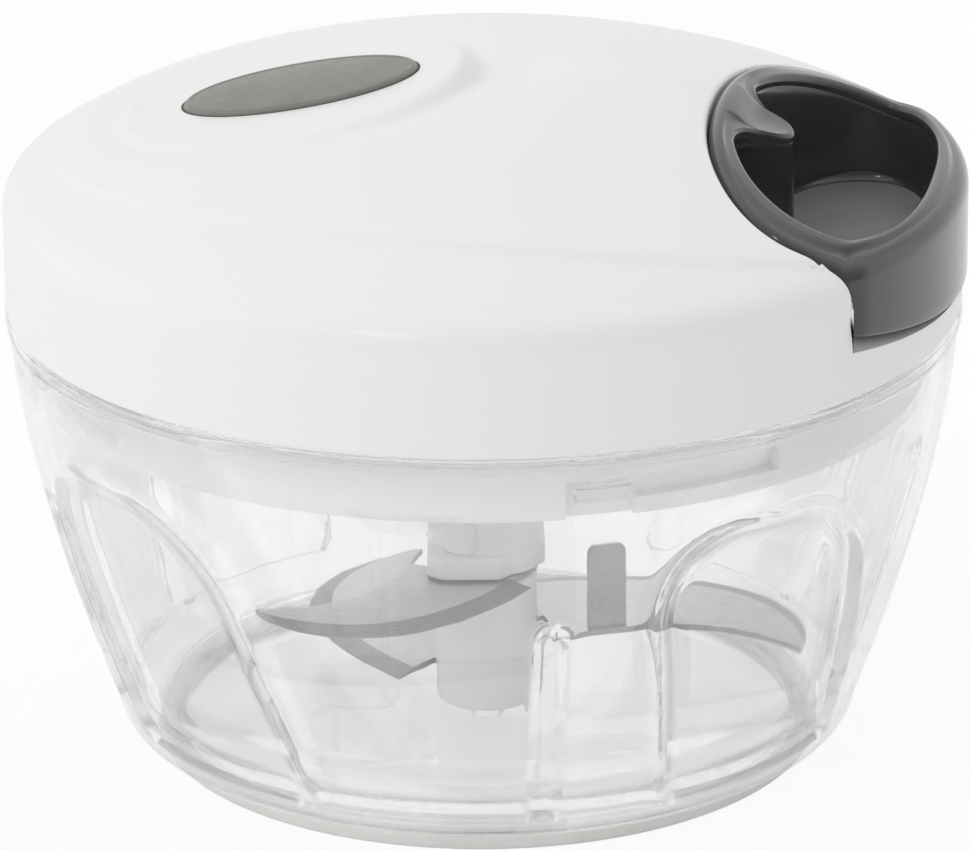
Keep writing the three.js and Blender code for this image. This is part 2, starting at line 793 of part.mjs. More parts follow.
// The cord between the drum and the eyelet.
function makeCordLead() {
  const { start, end } = cordLead();
  const along = end.clone().sub(start);
  const length = along.length() - 3 * gap;
  const tube = new THREE.CylinderGeometry(cordDiameter / 2, cordDiameter / 2, length, leadSides);
  const turn = new THREE.Quaternion().setFromUnitVectors(new THREE.Vector3(0, 1, 0), along.clone().normalize());
  tube.applyQuaternion(turn);
  const middle = start.clone().add(end).multiplyScalar(0.5);
  return solid(tube.translate(middle.x, middle.y, middle.z));
}

// The wound cord: one unbroken helix on the drum.
function makeCordWinding() {
  const { winding, angle } = cordLead();
  const steps = Math.round(cordTurns * cordSteps);
  const centres = [];
  const loops = [];
  for (let i = 0; i <= steps; i += 1) {
    const back = (2 * Math.PI * i) / cordSteps;
    const turn = angle - back;
    const z = cordTopHeight - (cordPitch * i) / cordSteps;
    centres.push(new THREE.Vector3(winding * Math.cos(turn), winding * Math.sin(turn), z));
    loops.push(Array.from({ length: cordSides }, (_, j) => {
      const side = (2 * Math.PI * j) / cordSides;
      const r = winding + (cordDiameter / 2) * Math.cos(side);
      return new THREE.Vector3(r * Math.cos(turn), r * Math.sin(turn), z + (cordDiameter / 2) * Math.sin(side));
    }));
  }
  let least = Infinity;
  for (let i = 0; i < centres.length; i += 1) {
    for (let j = i + cordSteps / 2; j < centres.length; j += 1) {
      least = Math.min(least, centres[i].distanceTo(centres[j]) - cordDiameter);
    }
  }
  console.log("least gap between the cord's turns, mm:", least.toFixed(2));
  return solid(skin(loops));
}

// The eyelet that guides the cord through the pocket's wall.
function makeCordGuide() {
  const start = handleNose - pocketClearance - pocketWall - gap - guideFlangeThickness;
  const end = handleNose - pocketClearance;
  const profile = [[guideBore, start], [guideFlange, start], [guideFlange, start + guideFlangeThickness],
    [guideBody, start + guideFlangeThickness], [guideBody, end], [guideBore, end], [guideBore, start]];
  const points = profile.map(([r, z]) => new THREE.Vector2(r, z));
  const eyelet = new THREE.LatheGeometry(points, smallSegments).rotateZ(-Math.PI / 2);
  return solid(eyelet.translate(0, 0, cordHeight));
}

// The inner cover: a tray that closes the lid, with the bayonet slots in its skirt.
function makeInnerCover() {
  const flangeRadius = lidRadius - lidWall - gap;
  const flangeTop = flangeBottom + flangeThickness;
  const hole = hubRadius + gap;
  const skirtInner = skirtRadius - skirtWall;
  const trayTop = trayBottom + trayThickness;
  let cover = revolve([
    [hole, trayBottom], [skirtInner, trayBottom], [skirtInner, skirtBottom], [skirtRadius, skirtBottom],
    [skirtRadius, flangeBottom], [flangeRadius, flangeBottom], [flangeRadius, flangeTop],
    [skirtInner, flangeTop], [skirtInner, trayTop], [hole + bearingWall, trayTop],
    [hole + bearingWall, bearingTop], [hole, bearingTop], [hole, trayBottom],
  ]);
  for (let k = 0; k < lugCount; k += 1) {
    const middle = lugAngle + (360 * k) / lugCount;
    const half = lugHalfAngle + slotSideAngle;
    const from = skirtRadius - slotDepth;
    const top = lugBottom + lugHeight + slotSide;
    const far = skirtRadius + overrun / 4;
    cover = cover.subtract(sector(from, far, middle - half, middle + half, skirtBottom - overrun, top));
    cover = cover.subtract(sector(from, far, middle - half, middle + half + lugTurn,
      lugBottom - slotSide, top, slotSteps));
  }
  for (const angle of lidBossAngles) {
    const [x, y] = pointAt(lidBossPlace, angle);
    cover = cover.subtract(rod(screwShank + gap, trayBottom - overrun, trayTop + overrun, x, y));
  }
  return cover;
}

// A screw that holds the inner cover to one boss of the lid.
function makeLidScrew(angle) {
  const top = trayBottom - gap;
  const profile = [[0, top - screwHead], [screwHeadRadius * screwCrownShare, top - screwHead],
    [screwHeadRadius, top - screwHead / 2], [screwHeadRadius, top], [screwShank, top],
    [screwShank, top + screwLength], [0, top + screwLength + screwShank]];
  return revolve(profile, smallSegments).translate([...pointAt(lidBossPlace, angle), 0]);
}

// The seal between the bowl's rim and the inner cover.
function makeLidSeal() {
  const bottom = rimTop - sealStepDepth + gap;
  return ring(skirtRadius + gap, lidRadius - lidWall - gap, bottom, bottom + sealThickness);
}

// Outline of the clutch wheel: saw teeth whose steep sides take the pawls' push.
function ratchetOutline() {
  const points = [];
  const pitch = 360 / ratchetTeeth;
  const slopeSteps = 3;
  for (let k = 0; k < ratchetTeeth; k += 1) {
    for (let i = 0; i <= slopeSteps; i += 1) {
      const share = i / (slopeSteps + toothDropShare);
      const radius = THREE.MathUtils.lerp(ratchetTip, ratchetRoot, share);
      points.push(pointAt(radius, pitch * (k + share)));
    }
  }
  return points;
}

// The drive hub: clutch wheel, bearing journal and the dog that turns the blades.
function makeDriveHub() {
  const flangeBottomAt = bearingTop + gap;
  const wheelBottom = flangeBottomAt + hubFlange;
  const body = revolve([[0, hubBottom], [hubRadius, hubBottom], [hubRadius, flangeBottomAt],
    [hubFlangeRadius, flangeBottomAt], [hubFlangeRadius, wheelBottom], [0, wheelBottom]], ringSegments);
  const wheel = prism(ratchetOutline(), wheelBottom - gap, wheelBottom + ratchetHeight);
  const core = rod(dogCore, hubBottom - dogLength, hubBottom + gap);
  let hub = body.add(wheel).add(core);
  for (const turn of [0, 180]) {
    hub = hub.add(sector(dogCore / 2, dogReach, turn - dogAngle / 2, turn + dogAngle / 2,
      hubBottom - dogLength, hubBottom + gap));
  }
  return hub.subtract(rod(axleRadius + gap, axleBottom - gap, wheelBottom + ratchetHeight + overrun));
}

// The steel axle of the reel and the clutch.
function makeAxle() {
  return rod(axleRadius, axleBottom, axleTop);
}

// The cord reel, its spring well and the pegs of the pawls.
function makeCordReel() {
  const lower = reelBottom + reelFlange;
  const upper = lower + reelDrumHeight;
  const top = upper + reelFlange;
  const well = reelBottom + springFloorRise;
  const bore = axleRadius + gap;
  const seat = bearingTop + gap + hubFlange + ratchetHeight + gap;
  let reel = revolve([
    [bore, seat], [reelBossRadius, seat], [reelBossRadius, reelBottom], [reelFlangeRadius, reelBottom],
    [reelFlangeRadius, lower], [reelDrumRadius, lower], [reelDrumRadius, upper], [reelFlangeRadius, upper],
    [reelFlangeRadius, top], [reelDrumRadius - reelDrumWall, top], [reelDrumRadius - reelDrumWall, well],
    [reelBossRadius, well], [reelBossRadius, top], [bore, top], [bore, seat],
  ], reelSegments);
  for (let k = 0; k < pawlCount; k += 1) {
    reel = reel.add(rod(pegRadius, pawlBottom() - gap, reelBottom + gap, ...pointAt(pawlPlace, pegAngle(k))));
  }
  return reel;
}

// The angle of a pawl's peg, so that its tip lies against a tooth.
function pegAngle(k) {
  return (360 * k) / pawlCount - pawlTipAngle - pawlLagAngle;
}

// The underside of the pawls, level with the middle of the clutch wheel.
function pawlBottom() {
  return bearingTop + gap + hubFlange + (ratchetHeight - pawlThickness) / 2;
}

// A clutch pawl: an eye on its peg and a bar to the wheel.
function makeClutchPawl(k) {
  const bottom = pawlBottom();
  const top = bottom + pawlThickness;
  const [px, py] = pointAt(pawlPlace, pegAngle(k));
  const [tx, ty] = pointAt((ratchetTip + ratchetRoot) / 2, pegAngle(k) + pawlLagAngle);
  const length = Math.hypot(tx - px, ty - py);
  const [ux, uy] = [(tx - px) / length, (ty - py) / length];
  const half = pawlBarWidth / 2;
  const bar = prism([[px - uy * half, py + ux * half], [px + uy * half, py - ux * half],
    [tx + uy * half / 2, ty - ux * half / 2], [tx - uy * half / 2, ty + ux * half / 2]], bottom, top);
  return rod(pawlEye, bottom, top, px, py).add(bar).subtract(
    rod(pegRadius + gap, bottom - overrun, top + overrun, px, py));
}

// The flat spiral spring that winds the cord back.
function makeRecoilSpring() {
  const outer = reelDrumRadius - reelDrumWall - gap - springStrip;
  const steps = springTurns * springSteps;
  const loops = [];
  const bottom = reelBottom + springFloorRise + gap;
  for (let i = 0; i <= steps; i += 1) {
    const angle = (2 * Math.PI * i) / springSteps;
    const r = THREE.MathUtils.lerp(springInner, outer, i / steps);
    const at = (radius, z) => new THREE.Vector3(radius * Math.cos(angle), radius * Math.sin(angle), z);
    loops.push([at(r, bottom), at(r + springStrip, bottom), at(r + springStrip, bottom + springHeight),
      at(r, bottom + springHeight)]);
  }
  return solid(skin(loops));
}

// The plate that keeps the spring in its well.
function makeSpringCover() {
  const bottom = reelBottom + 2 * reelFlange + reelDrumHeight + gap;
  return ring(axleRadius + 2 * gap, reelDrumRadius, bottom, bottom + springCoverThickness, reelSegments);
}

// The lower blade column, with slots for the two lower blades.
function makeBladeSpindle() {
  const bore = pinRadius + gap;
  let spindle = revolve([
    [bore, spindleBottom], [spindleRadius - columnEdge, spindleBottom], [spindleRadius, spindleBottom + columnEdge],
    [spindleRadius, spindleTop], [stubRadius, spindleTop], [stubRadius, stubTop], [0, stubTop],
    [0, pinTop + gap], [bore, pinTop + gap], [bore, spindleBottom],
  ], ringSegments);
  for (const [height, angle] of [[middleBladeHeight, middleBladeAngle], [lowerBladeHeight, lowerBladeAngle]]) {
    const slot = block(bore + tangInset, spindleRadius + overrun, -tangWidth / 2 - gap, tangWidth / 2 + gap,
      height - gap, height + bladeThickness + gap);
    spindle = spindle.subtract(slot.rotate([0, 0, angle + tangAngle]));
  }
  return spindle;
}

// The upper column: clamps the upper blade and takes the lid's dog.
function makeBladeCollar() {
  const bottom = upperBladeHeight + bladeThickness + gap;
  const flangeTop = bottom + collarFlange;
  const bore = stubRadius + gap;
  let collar = revolve([
    [bore, bottom], [collarFlangeRadius - columnEdge, bottom], [collarFlangeRadius, bottom + columnEdge],
    [collarFlangeRadius, flangeTop - columnEdge], [collarFlangeRadius - columnEdge, flangeTop],
    [collarRadius, flangeTop],
    [collarRadius, collarTop], [socketRadius, collarTop], [socketRadius, collarTop - socketDepth],
    [0, collarTop - socketDepth], [0, stubTop + gap], [bore, stubTop + gap], [bore, bottom],
  ], ringSegments);
  for (const turn of [0, 180]) {
    const middle = turn + dogAngle + dogPlayAngle;
    collar = collar.add(sector(socketRib, socketRadius + gap, middle - dogAngle / 2,
      middle + dogAngle / 2, collarTop - socketDepth - gap, collarTop));
  }
  const boss = block(0, collarRadius + blockProud, -collarBlock / 2, collarBlock / 2, flangeTop - gap,
    flangeTop + collarBlock).rotate([0, 0, blockAngle]);
  return collar.add(boss.subtract(rod(stubRadius + gap, 0, domeApex)));
}

// How far the cutting edge lies from the blade's middle line, as shares of the reach.
function cutAt(share) {
  const root = Math.max(0, cutPeakShare - share);
  const nose = Math.max(0, share - cutPeakShare) / cutNoseShare;
  return cutWidthShare * Math.sqrt(Math.max(0, 1 - nose * nose)) - cutRootShare * root * root;
}

// How far the blade's back lies from its middle line, as shares of the reach.
function backAt(share) {
  const root = Math.max(0, backPeakShare - share);
  const nose = Math.max(0, share - backPeakShare) / backNoseShare;
  return backWidthShare * (1 - nose * nose) - backRootShare * root * root;
}

// A point on the blade's back, at a share of its reach.
function backPoint(share, reach) {
  return new THREE.Vector2(share, backAt(share) - bladeTipShare).multiplyScalar(reach);
}

// A sickle blade, flat, with its ground edge leading. Its tip lies at the given angle.
function sickle(reach, angle, height) {
  const loops = [];
  for (let i = 0; i <= bladeSteps; i += 1) {
    const t = i / bladeSteps;
    const cut = THREE.MathUtils.lerp(cutStartShare, tipShare, Math.sqrt(t));
    const back = THREE.MathUtils.lerp(backStartShare, tipShare, t);
    const edge = new THREE.Vector2(cut, cutAt(cut)).multiplyScalar(reach);
    const rear = backPoint(back, reach);
    const bevel = edge.clone().lerp(rear, bevelShare);
    const at = (point, z) => new THREE.Vector3(point.x, point.y, z);
    const top = bladeThickness;
    loops.push([at(rear, 0), at(edge, 0), at(edge, bladeEdgeThickness), at(bevel, top), at(rear, top)]);
  }
  return solid(skin(loops)).rotate([0, 0, angle]).translate([0, 0, height]);
}

// The upper blade with its eye round the spindle's stub.
function makeUpperBlade() {
  const eye = ring(stubRadius + gap, bladeEyeRadius, upperBladeHeight, upperBladeHeight + bladeThickness,
    ringSegments);
  const blade = sickle(upperBladeReach, upperBladeAngle, upperBladeHeight);
  const hole = rod(stubRadius + gap, 0, domeApex, 0, 0, ringSegments);
  return eye.add(blade).subtract(hole);
}

// A lower blade whose tang sits in the spindle's slot.
function makeLowBlade(reach, angle, height) {
  const inner = pinRadius + gap + tangInset + gap;
  const tang = block(inner, spindleRadius + overrun, -tangWidth / 2, tangWidth / 2, height,
    height + bladeThickness).rotate([0, 0, angle + tangAngle]);
  const clear = rod(spindleRadius + gap, 0, domeApex, 0, 0, ringSegments);
  return tang.add(sickle(reach, angle, height).subtract(clear));
}

// The fin folded up from the middle blade's back, with round upper corners.
function makeFin() {
  const start = backPoint(finStartShare, middleBladeReach);
  const along = backPoint(finEndShare, middleBladeReach).sub(start);
  const side = along.length() - finCorner;
  const top = bladeThickness + finHeight - finCorner;
  const outline = [[0, 0], [along.length(), 0],
    ...arc(finCorner, 0, 90, cornerSteps).map(([x, y]) => [side + x, top + y]),
    ...arc(finCorner, 90, 180, cornerSteps).map(([x, y]) => [finCorner + x, top + y])];
  return prism(outline, 0, bladeThickness).rotate([90, 0, 0])
    .translate([0, bladeThickness + finInset, 0])
    .rotate([0, 0, THREE.MathUtils.radToDeg(along.angle())])
    .translate([start.x, start.y, 0])
    .rotate([0, 0, middleBladeAngle])
    .translate([0, 0, middleBladeHeight]);
}

// The middle blade with its fin.
function makeMiddleBlade() {
  return makeLowBlade(middleBladeReach, middleBladeAngle, middleBladeHeight).add(makeFin());
}

// Materials, one per finish
const finish = (color, roughness, metalness, opacity = 1) => new THREE.MeshStandardMaterial({
  color, roughness, metalness, opacity, transparent: opacity < 1,
});
const whitePlastic = () => finish(0xf1f1f0, 0.25, 0);
const greyPlastic = () => finish(0x6f6e6b, 0.22, 0);
const clearPlastic = () => finish(0xe9ecec, 0.05, 0, 0.35);
const steel = () => finish(0xb9bbbd, 0.3, 1);
const rubber = () => finish(0xc9cac9, 0.6, 0);
const innerPlastic = () => finish(0xd8d8d4, 0.4, 0);
const cordFibre = () => finish(0xe4e2dc, 0.8, 0);

const cutter = new THREE.Group();
cutter.name = "onion_cutter";

function place(group, name, shape, material) {
  const mesh = new THREE.Mesh(geometryOf(shape), material);
  mesh.name = name;
  group.add(mesh);
}

// Bowl group
const bowlGroup = new THREE.Group();
place(bowlGroup, "bowl", makeBowl(), clearPlastic());
place(bowlGroup, "non_slip_ring", makeFootRing(), rubber());
place(bowlGroup, "pivot_pin", makePivotPin(), steel());

// Lid group
const lidGroup = new THREE.Group();
place(lidGroup, "lid_seal", makeLidSeal(), rubber());
place(lidGroup, "lid_cover", makeLidCover(), whitePlastic());
place(lidGroup, "inner_cover", makeInnerCover(), whitePlastic());
place(lidGroup, "badge", makeBadge(), greyPlastic());
lidBossAngles.forEach((angle, i) => place(lidGroup, `lid_screw_${i + 1}`, makeLidScrew(angle), steel()));
place(lidGroup, "reel_axle", makeAxle(), steel());
place(lidGroup, "cord_guide", makeCordGuide(), steel());
place(lidGroup, "cord_lead", makeCordLead(), cordFibre());

// Handle group
const handleGroup = new THREE.Group();
place(handleGroup, "pull_handle", makePullHandle(), greyPlastic());
place(handleGroup, "cord_knot", makeCordKnot(), cordFibre());
place(handleGroup, "pull_cord", makePullCord(), cordFibre());

// Reel and drive group
const driveGroup = new THREE.Group();
place(driveGroup, "cord_reel", makeCordReel(), innerPlastic());
place(driveGroup, "cord_winding", makeCordWinding(), cordFibre());
place(driveGroup, "recoil_spring", makeRecoilSpring(), steel());
place(driveGroup, "spring_cover", makeSpringCover(), innerPlastic());
for (let k = 0; k < pawlCount; k += 1) {
  place(driveGroup, `clutch_pawl_${k + 1}`, makeClutchPawl(k), innerPlastic());
}
place(driveGroup, "drive_hub", makeDriveHub(), innerPlastic());

// Blade group
const bladeGroup = new THREE.Group();
place(bladeGroup, "blade_spindle", makeBladeSpindle(), whitePlastic());
place(bladeGroup, "blade_collar", makeBladeCollar(), whitePlastic());
place(bladeGroup, "upper_blade", makeUpperBlade(), steel());
place(bladeGroup, "middle_blade", makeMiddleBlade(), steel());
place(bladeGroup, "lower_blade", makeLowBlade(lowerBladeReach, lowerBladeAngle, lowerBladeHeight), steel());

cutter.add(bowlGroup, lidGroup, handleGroup, driveGroup, bladeGroup);

export default cutter;
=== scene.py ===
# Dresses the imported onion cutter: a clear bowl with a blade column, a white domed lid and a grey pull handle.
# Shapes are worked out in millimetres in the part's own frame and written to the meshes in metres.
import math

import bmesh
import bpy
import numpy as np
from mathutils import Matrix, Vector


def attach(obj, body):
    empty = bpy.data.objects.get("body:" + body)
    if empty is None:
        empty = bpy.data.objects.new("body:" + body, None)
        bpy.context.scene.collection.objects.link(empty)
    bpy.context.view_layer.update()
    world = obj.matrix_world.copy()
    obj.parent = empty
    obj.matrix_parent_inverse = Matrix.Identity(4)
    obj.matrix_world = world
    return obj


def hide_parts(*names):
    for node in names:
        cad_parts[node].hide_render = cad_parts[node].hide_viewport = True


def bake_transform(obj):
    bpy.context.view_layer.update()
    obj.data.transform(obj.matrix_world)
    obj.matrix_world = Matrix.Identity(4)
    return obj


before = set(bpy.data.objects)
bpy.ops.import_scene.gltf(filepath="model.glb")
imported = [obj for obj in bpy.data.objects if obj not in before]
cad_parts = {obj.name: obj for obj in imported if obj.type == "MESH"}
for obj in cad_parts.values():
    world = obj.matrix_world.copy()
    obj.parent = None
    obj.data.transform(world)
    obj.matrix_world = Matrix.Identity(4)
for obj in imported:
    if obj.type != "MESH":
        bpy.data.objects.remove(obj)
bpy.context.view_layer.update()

MM = 0.001

# Camera, fitted to the bowl's rim and foot
CAMERA_PLACE_MM = (146.2, -829.1, 359.9)
CAMERA_TARGET_MM = (0.0, 0.0, 41.62)
CAMERA_LENS_MM = 253.16
CAMERA_ROLL_DEGREES = -0.51

# Bowl
RIM_RADIUS = 62.6
RIM_TOP = 60.2
BEAD_HEIGHT = 1.6
BEAD_STEP = 0.5
RIM_WALL = 1.4
SEAL_STEP = 1.4
BOWL_WALL = 2.6
WALL_TAPER = 15.4
WALL_TAPER_SHARE = 1.5
FOOT_RADIUS = 44.3
FOOT_RISE = 2.3
WALL_FOOT = 6.5
UNDERSIDE = 1.2
FLOOR_TOP = 3.2
FLOOR_RADIUS = 35.5
FLOOR_FILLET = 11.0
PANEL_DEPTH = 1.0
PANEL_BULGE = 0.8
PANEL_TOP = 46.0
PANEL_BOTTOM = 5.0
PANEL_TOP_ROUND = 12.0
PANEL_FOOT_ROUND = 4.0
PANEL_EDGE = 1.3
PANEL_BEAD = 0.4
FLUTE_EDGE = 0.8
PANEL_COUNT = 4
PANEL_MIDDLE = -123.5
PANEL_HALF = 17.5
PANEL_LEAN = -10.5
PANEL_NARROWING = 2.5
FLUTE_TOP = 36.0
FLUTE_WIDTH = 3.6
FLUTE_DEPTH = 1.2
FLUTE_ANGLE = -72.0

# Foot ring and pivot pin
FOOT_RING_OUTER = 44.0
FOOT_RING_INNER = 41.2
FOOT_RING_HEIGHT = 2.0
PIN_RADIUS = 2.2
PIN_BOTTOM = 1.9
PIN_TOP = 13.0

# Lid
LID_RADIUS = 62.5
LID_BOTTOM = 60.5
LID_WALL = 2.0
SHOULDER_START = 59.0
SHOULDER_END_HEIGHT = 73.4
SKIRT_STEP = 65.2
DOME_APEX = 90.6
DOME_DROP = 12.6
DOME_REACH = 60.0
DOME_SHARE = 2.34
CREASE_CENTRE = 5.0
CREASE_LENGTH = 62.0
CREASE_WIDTH = 47.5
CREASE_RISE = 0.6
ISLAND_CENTRE = -24.5
ISLAND_RADIUS = 24.0
ISLAND_TOP_RADIUS = 20.8
ISLAND_HEIGHT = 87.2
ISLAND_SLOPE = 0.2
MOAT_DEPTH = 1.0
MOAT_WIDTH = 2.6
SCOOP_DEPTH = 1.7
SCOOP_PLACE = (4.0, 3.0)
SCOOP_SIZE = (5.5, 8.0)
SPINE_RISE = 0.4
SPINE_WIDTH = 2.0
SPINE_X = (-6.0, 9.3, 18.2, 28.0)
SPINE_Y = (13.5, 6.1, 3.2, 4.0)

# Badge
BADGE_CENTRE = -24.0
BADGE_HALF_LENGTH = 15.5
BADGE_HALF_WIDTH = 10.0

# Pull handle and pocket
HANDLE_NOSE = 30.4
HANDLE_MIDDLE = 46.0
HANDLE_HALF = 33.5
HANDLE_FACE = 63.1
HANDLE_CORNER = 2.0
CREST_CORNER = 7.0
OPENING_NOSE = 33.4
OPENING_MIDDLE = 47.5
OPENING_HALF = 27.4
OPENING_FRONT = 58.5
NOSE_POWER = 0.95
OPENING_POWER = 0.8
RAY_SHARE = 0.44
WARP_REACH = 25.0
HANDLE_CENTRE = 47.0
HANDLE_BOTTOM = 64.6
HANDLE_BOTTOM_RISE = 4.2
HANDLE_FLOOR = 69.0
HANDLE_UNDER_FLOOR = 66.8
POCKET_GAP = 0.5
POCKET_LIP = 0.35
POCKET_WALL = 1.3
POCKET_FLOOR = 64.1
POCKET_RISE = 2.6
LEDGE_WIDTH = 3.0
LEDGE_GAP = 0.4
POST_PLACE = 38.1
POST_RADIUS = 2.6
TONGUE_PLACE = 37.2
TONGUE_RADIUS = 3.6
TONGUE_ROOT = 0.8
TONGUE_DIP = 1.8
TONGUE_DIP_WIDTH = 9.0
FRONT_RISE = 1.4
NOSE_LEAN = 0.9
EDGE_DROP = 1.6
EDGE_RISE = 2.4
LIP_WIDTH = 0.9
LIP_THICKNESS = 1.7
CUP_FILLET = 1.6
CORD_HEIGHT = 73.3

# Blade column
SPINDLE_RADIUS = 6.75
SPINDLE_BOTTOM = 4.0
SPINDLE_TOP = 21.9
STUB_RADIUS = 4.0
STUB_TOP = 29.0
COLLAR_RADIUS = 7.7
COLLAR_BOTTOM = 23.3
FLANGE_TURN = -80.0
FLANGE_FRONT = 8.6
FLANGE_SIDE = 7.8
FLANGE_SLANT = 7.3
FLANGE_LIMIT = 10.4
BLOCK_TURN = -107.0
BLOCK_HEIGHT = 28.8
BLOCK_HALF = 2.4
COLLAR_FLANGE_TOP = 26.5
COLLAR_TOP = 48.4
SOCKET_RADIUS = 6.1
SOCKET_DEPTH = 7.4
RIB_REACH = (4.6, 6.4)
RIB_HEIGHTS = (40.8, 48.3)
RIB_ANGLES = (27.0, 207.0)

# Each blade's node, then its name, reach, angle, height and kind of root
BLADES = (
    ("upper_blade", ("upper_sickle", 34.0, -141.0, 22.2, "eye")),
    ("middle_blade", ("middle_sickle", 43.0, -8.0, 14.6, "fin")),
    ("lower_blade", ("lower_sickle", 41.0, 113.0, 7.6, "tang")),
)
BLADE_THICKNESS = 0.8
BLADE_EDGE = 0.12
EYE_REACH = (4.3, 7.0)
TANG_REACH = (3.9, 10.6)
TANG_HALF = 3.4
FIN_SHARES = (0.35, 0.45)
FIN_TOP = 12.4
FIN_CORNER = 1.2

# Inner cover, seal and bayonet
SKIRT_RADIUS = 57.97
SKIRT_INNER = 54.77
SKIRT_BOTTOM = 50.9
FLANGE_BOTTOM = 61.2
FLANGE_TOP = 62.4
COVER_RADIUS = 60.2
TRAY_BOTTOM = 52.4
TRAY_TOP = 54.2
BEARING_RADIUS = 10.7
BEARING_TOP = 58.4
COVER_BORE = 8.1
LUG_ANGLE = -66.0
LUG_HALF = 3.4
LUG_REACH = (56.9, 60.0)
LUG_HEIGHTS = (53.6, 55.6)
LUG_TURN = 20.0
SLOT_HALF = 4.3
SLOT_DEPTH = 1.5
SLOT_LOW = 53.2
SLOT_TOP = 56.0
SEAL_BOTTOM = 59.1
SEAL_TOP = 60.9

# Clutch, reel and spring
HUB_RADIUS = 7.8
HUB_BOTTOM = 48.8
HUB_FLANGE_RADIUS = 14.0
WHEEL_BOTTOM = 60.7
WHEEL_TOP = 63.7
RATCHET_TIP = 13.0
RATCHET_ROOT = 11.2
RATCHET_TEETH = 12
DOG_CORE = 4.2
DOG_REACH = 5.6
DOG_HALF_ANGLE = 12.5
DOG_BOTTOM = 42.0
AXLE_RADIUS = 2.5
AXLE_BOTTOM = 55.0
AXLE_TOP = 85.6
BORE = 2.8
PAWL_PLACE = 17.0
PAWL_ANGLES = (-36.0, 144.0)
PAWL_LAG = 34.4
PAWL_EYE = 2.8
PAWL_BAR = 0.6
PAWL_BOTTOM = 61.3
PAWL_TOP = 63.1
PEG_RADIUS = 1.4
REEL_BOTTOM = 65.2
REEL_RADIUS = 26.0
REEL_FLANGE = 1.5
DRUM_RADIUS = 20.6
DRUM_WALL = 3.2
REEL_TOP = 76.3
REEL_BOSS = 5.4
REEL_SEAT = 64.0
SPRING_FLOOR = 69.5
SPRING_INNER = 6.6
SPRING_OUTER = 16.6
SPRING_TURNS = 4
SPRING_STRIP = 0.5
SPRING_HEIGHT = 5.0
PLATE_BOTTOM = 76.6
PLATE_TOP = 77.8

# Cord
CORD_RADIUS = 0.7
CORD_CIRCLE = 21.6
CORD_LEAVES = -37.15
CORD_WOUND_TOP = 72.1
CORD_PITCH = 1.7
CORD_TURNS = 2.5
CORD_LEAD_START = (17.22, -13.04, 73.8)
CORD_LEAD_END = (27.1, 0.0, 73.3)
BRAID_LAY = 2.4
BRAID_DEPTH = 0.07
KNOT_SCALE = 0.5

# Eyelet, as reach from the cord's line and place along X
EYELET_PROFILE = ((1.5, 27.5), (3.4, 27.5), (3.4, 28.6), (2.2, 28.6), (2.2, 30.72), (3.0, 30.72), (3.0, 30.98),
                  (1.9, 30.98), (1.4, 30.6), (1.2, 30.0), (1.2, 28.4))

# Screws
SCREW_PLACE = 45.0
SCREW_ANGLES = (68.0, 150.0, 210.0, 292.0)
SCREW_HEAD = 2.8
SCREW_SHANK = 1.3
SCREW_TOP = 52.1
SCREW_TIP = 63.4
THREAD_PITCH = 0.9

# Share of light that goes straight through clear plastic, on flat and on steep faces, and how steep these are
CLEAR_STRAIGHT = (0.1, 0.65)
CLEAR_FACING = (0.25, 0.7)

# Shares of plain white in what the camera and glass, and gloss, see of the floor
FLOOR_WHITE = 0.88
FLOOR_GLOSS = 0.35

# Studio: floor and backdrop, the world's directions and levels, and lamps by place, size, watts and mirroring
FLOOR_FRONT = -900.0
FLOOR_MIDDLE = 500.0
FLOOR_HALF = 1800.0
SWEEP_START = 900.0
SWEEP_RADIUS = 500.0
BACKDROP_TOP = 2200.0
LIGHT_SIDE = (-0.87, -0.5, 0.0)
NEAR_SIDE = (0.17, -0.98, 0.0)
SOFT_LEVELS = (0.58, 1.04)
GLOSS_LEVELS = (1.0, 0.3)
LAMP_TARGET = (0.0, 0.0, 50.0)
LAMPS = (
    ("softbox_left", (-700.0, -500.0, 800.0), 600.0, 1.7, False),
    ("softbox_back", (300.0, 700.0, 900.0), 500.0, 1.3, False),
    ("key_lamp", (-250.0, -700.0, 1000.0), 90.0, 0.5, True),
)


def srgb(hex_colour, alpha=1.0):
    """An sRGB hex colour as the linear values that Blender's sockets take."""
    value = hex_colour.lstrip("#")
    parts = [int(value[i:i + 2], 16) / 255 for i in (0, 2, 4)]
    return tuple(p / 12.92 if p <= 0.04045 else ((p + 0.055) / 1.055) ** 2.4 for p in parts) + (alpha,)


def smooth(value, low, high):
    """A smooth step: 0 below low, 1 above high, 3t^2 - 2t^3 between."""
    t = np.clip((value - low) / (high - low), 0.0, 1.0)
    return t * t * (3 - 2 * t)


def add_object(name, data):
    """A new object in the scene."""
    made = bpy.data.objects.new(name, data)
    bpy.context.scene.collection.objects.link(made)
    return made


def aim(thing, place_mm, target_mm):
    """Puts a camera or lamp at a place and turns it to look at a point."""
    place = Vector(place_mm) * MM
    thing.rotation_euler = (Vector(target_mm) * MM - place).to_track_quat("-Z", "Y").to_euler()
    thing.location = place


def place_camera():
    """The photograph's view: long lens, looking down about 21 degrees, with a slight roll."""
    data = bpy.data.cameras.new("photo_camera")
    data.lens = CAMERA_LENS_MM
    data.sensor_width = 36.0
    data.clip_end = 20.0
    camera = add_object("photo_camera", data)
    aim(camera, CAMERA_PLACE_MM, CAMERA_TARGET_MM)
    camera.rotation_euler.rotate_axis("Z", math.radians(CAMERA_ROLL_DEGREES))
    bpy.context.scene.camera = camera


place_camera()


# Mesh helpers

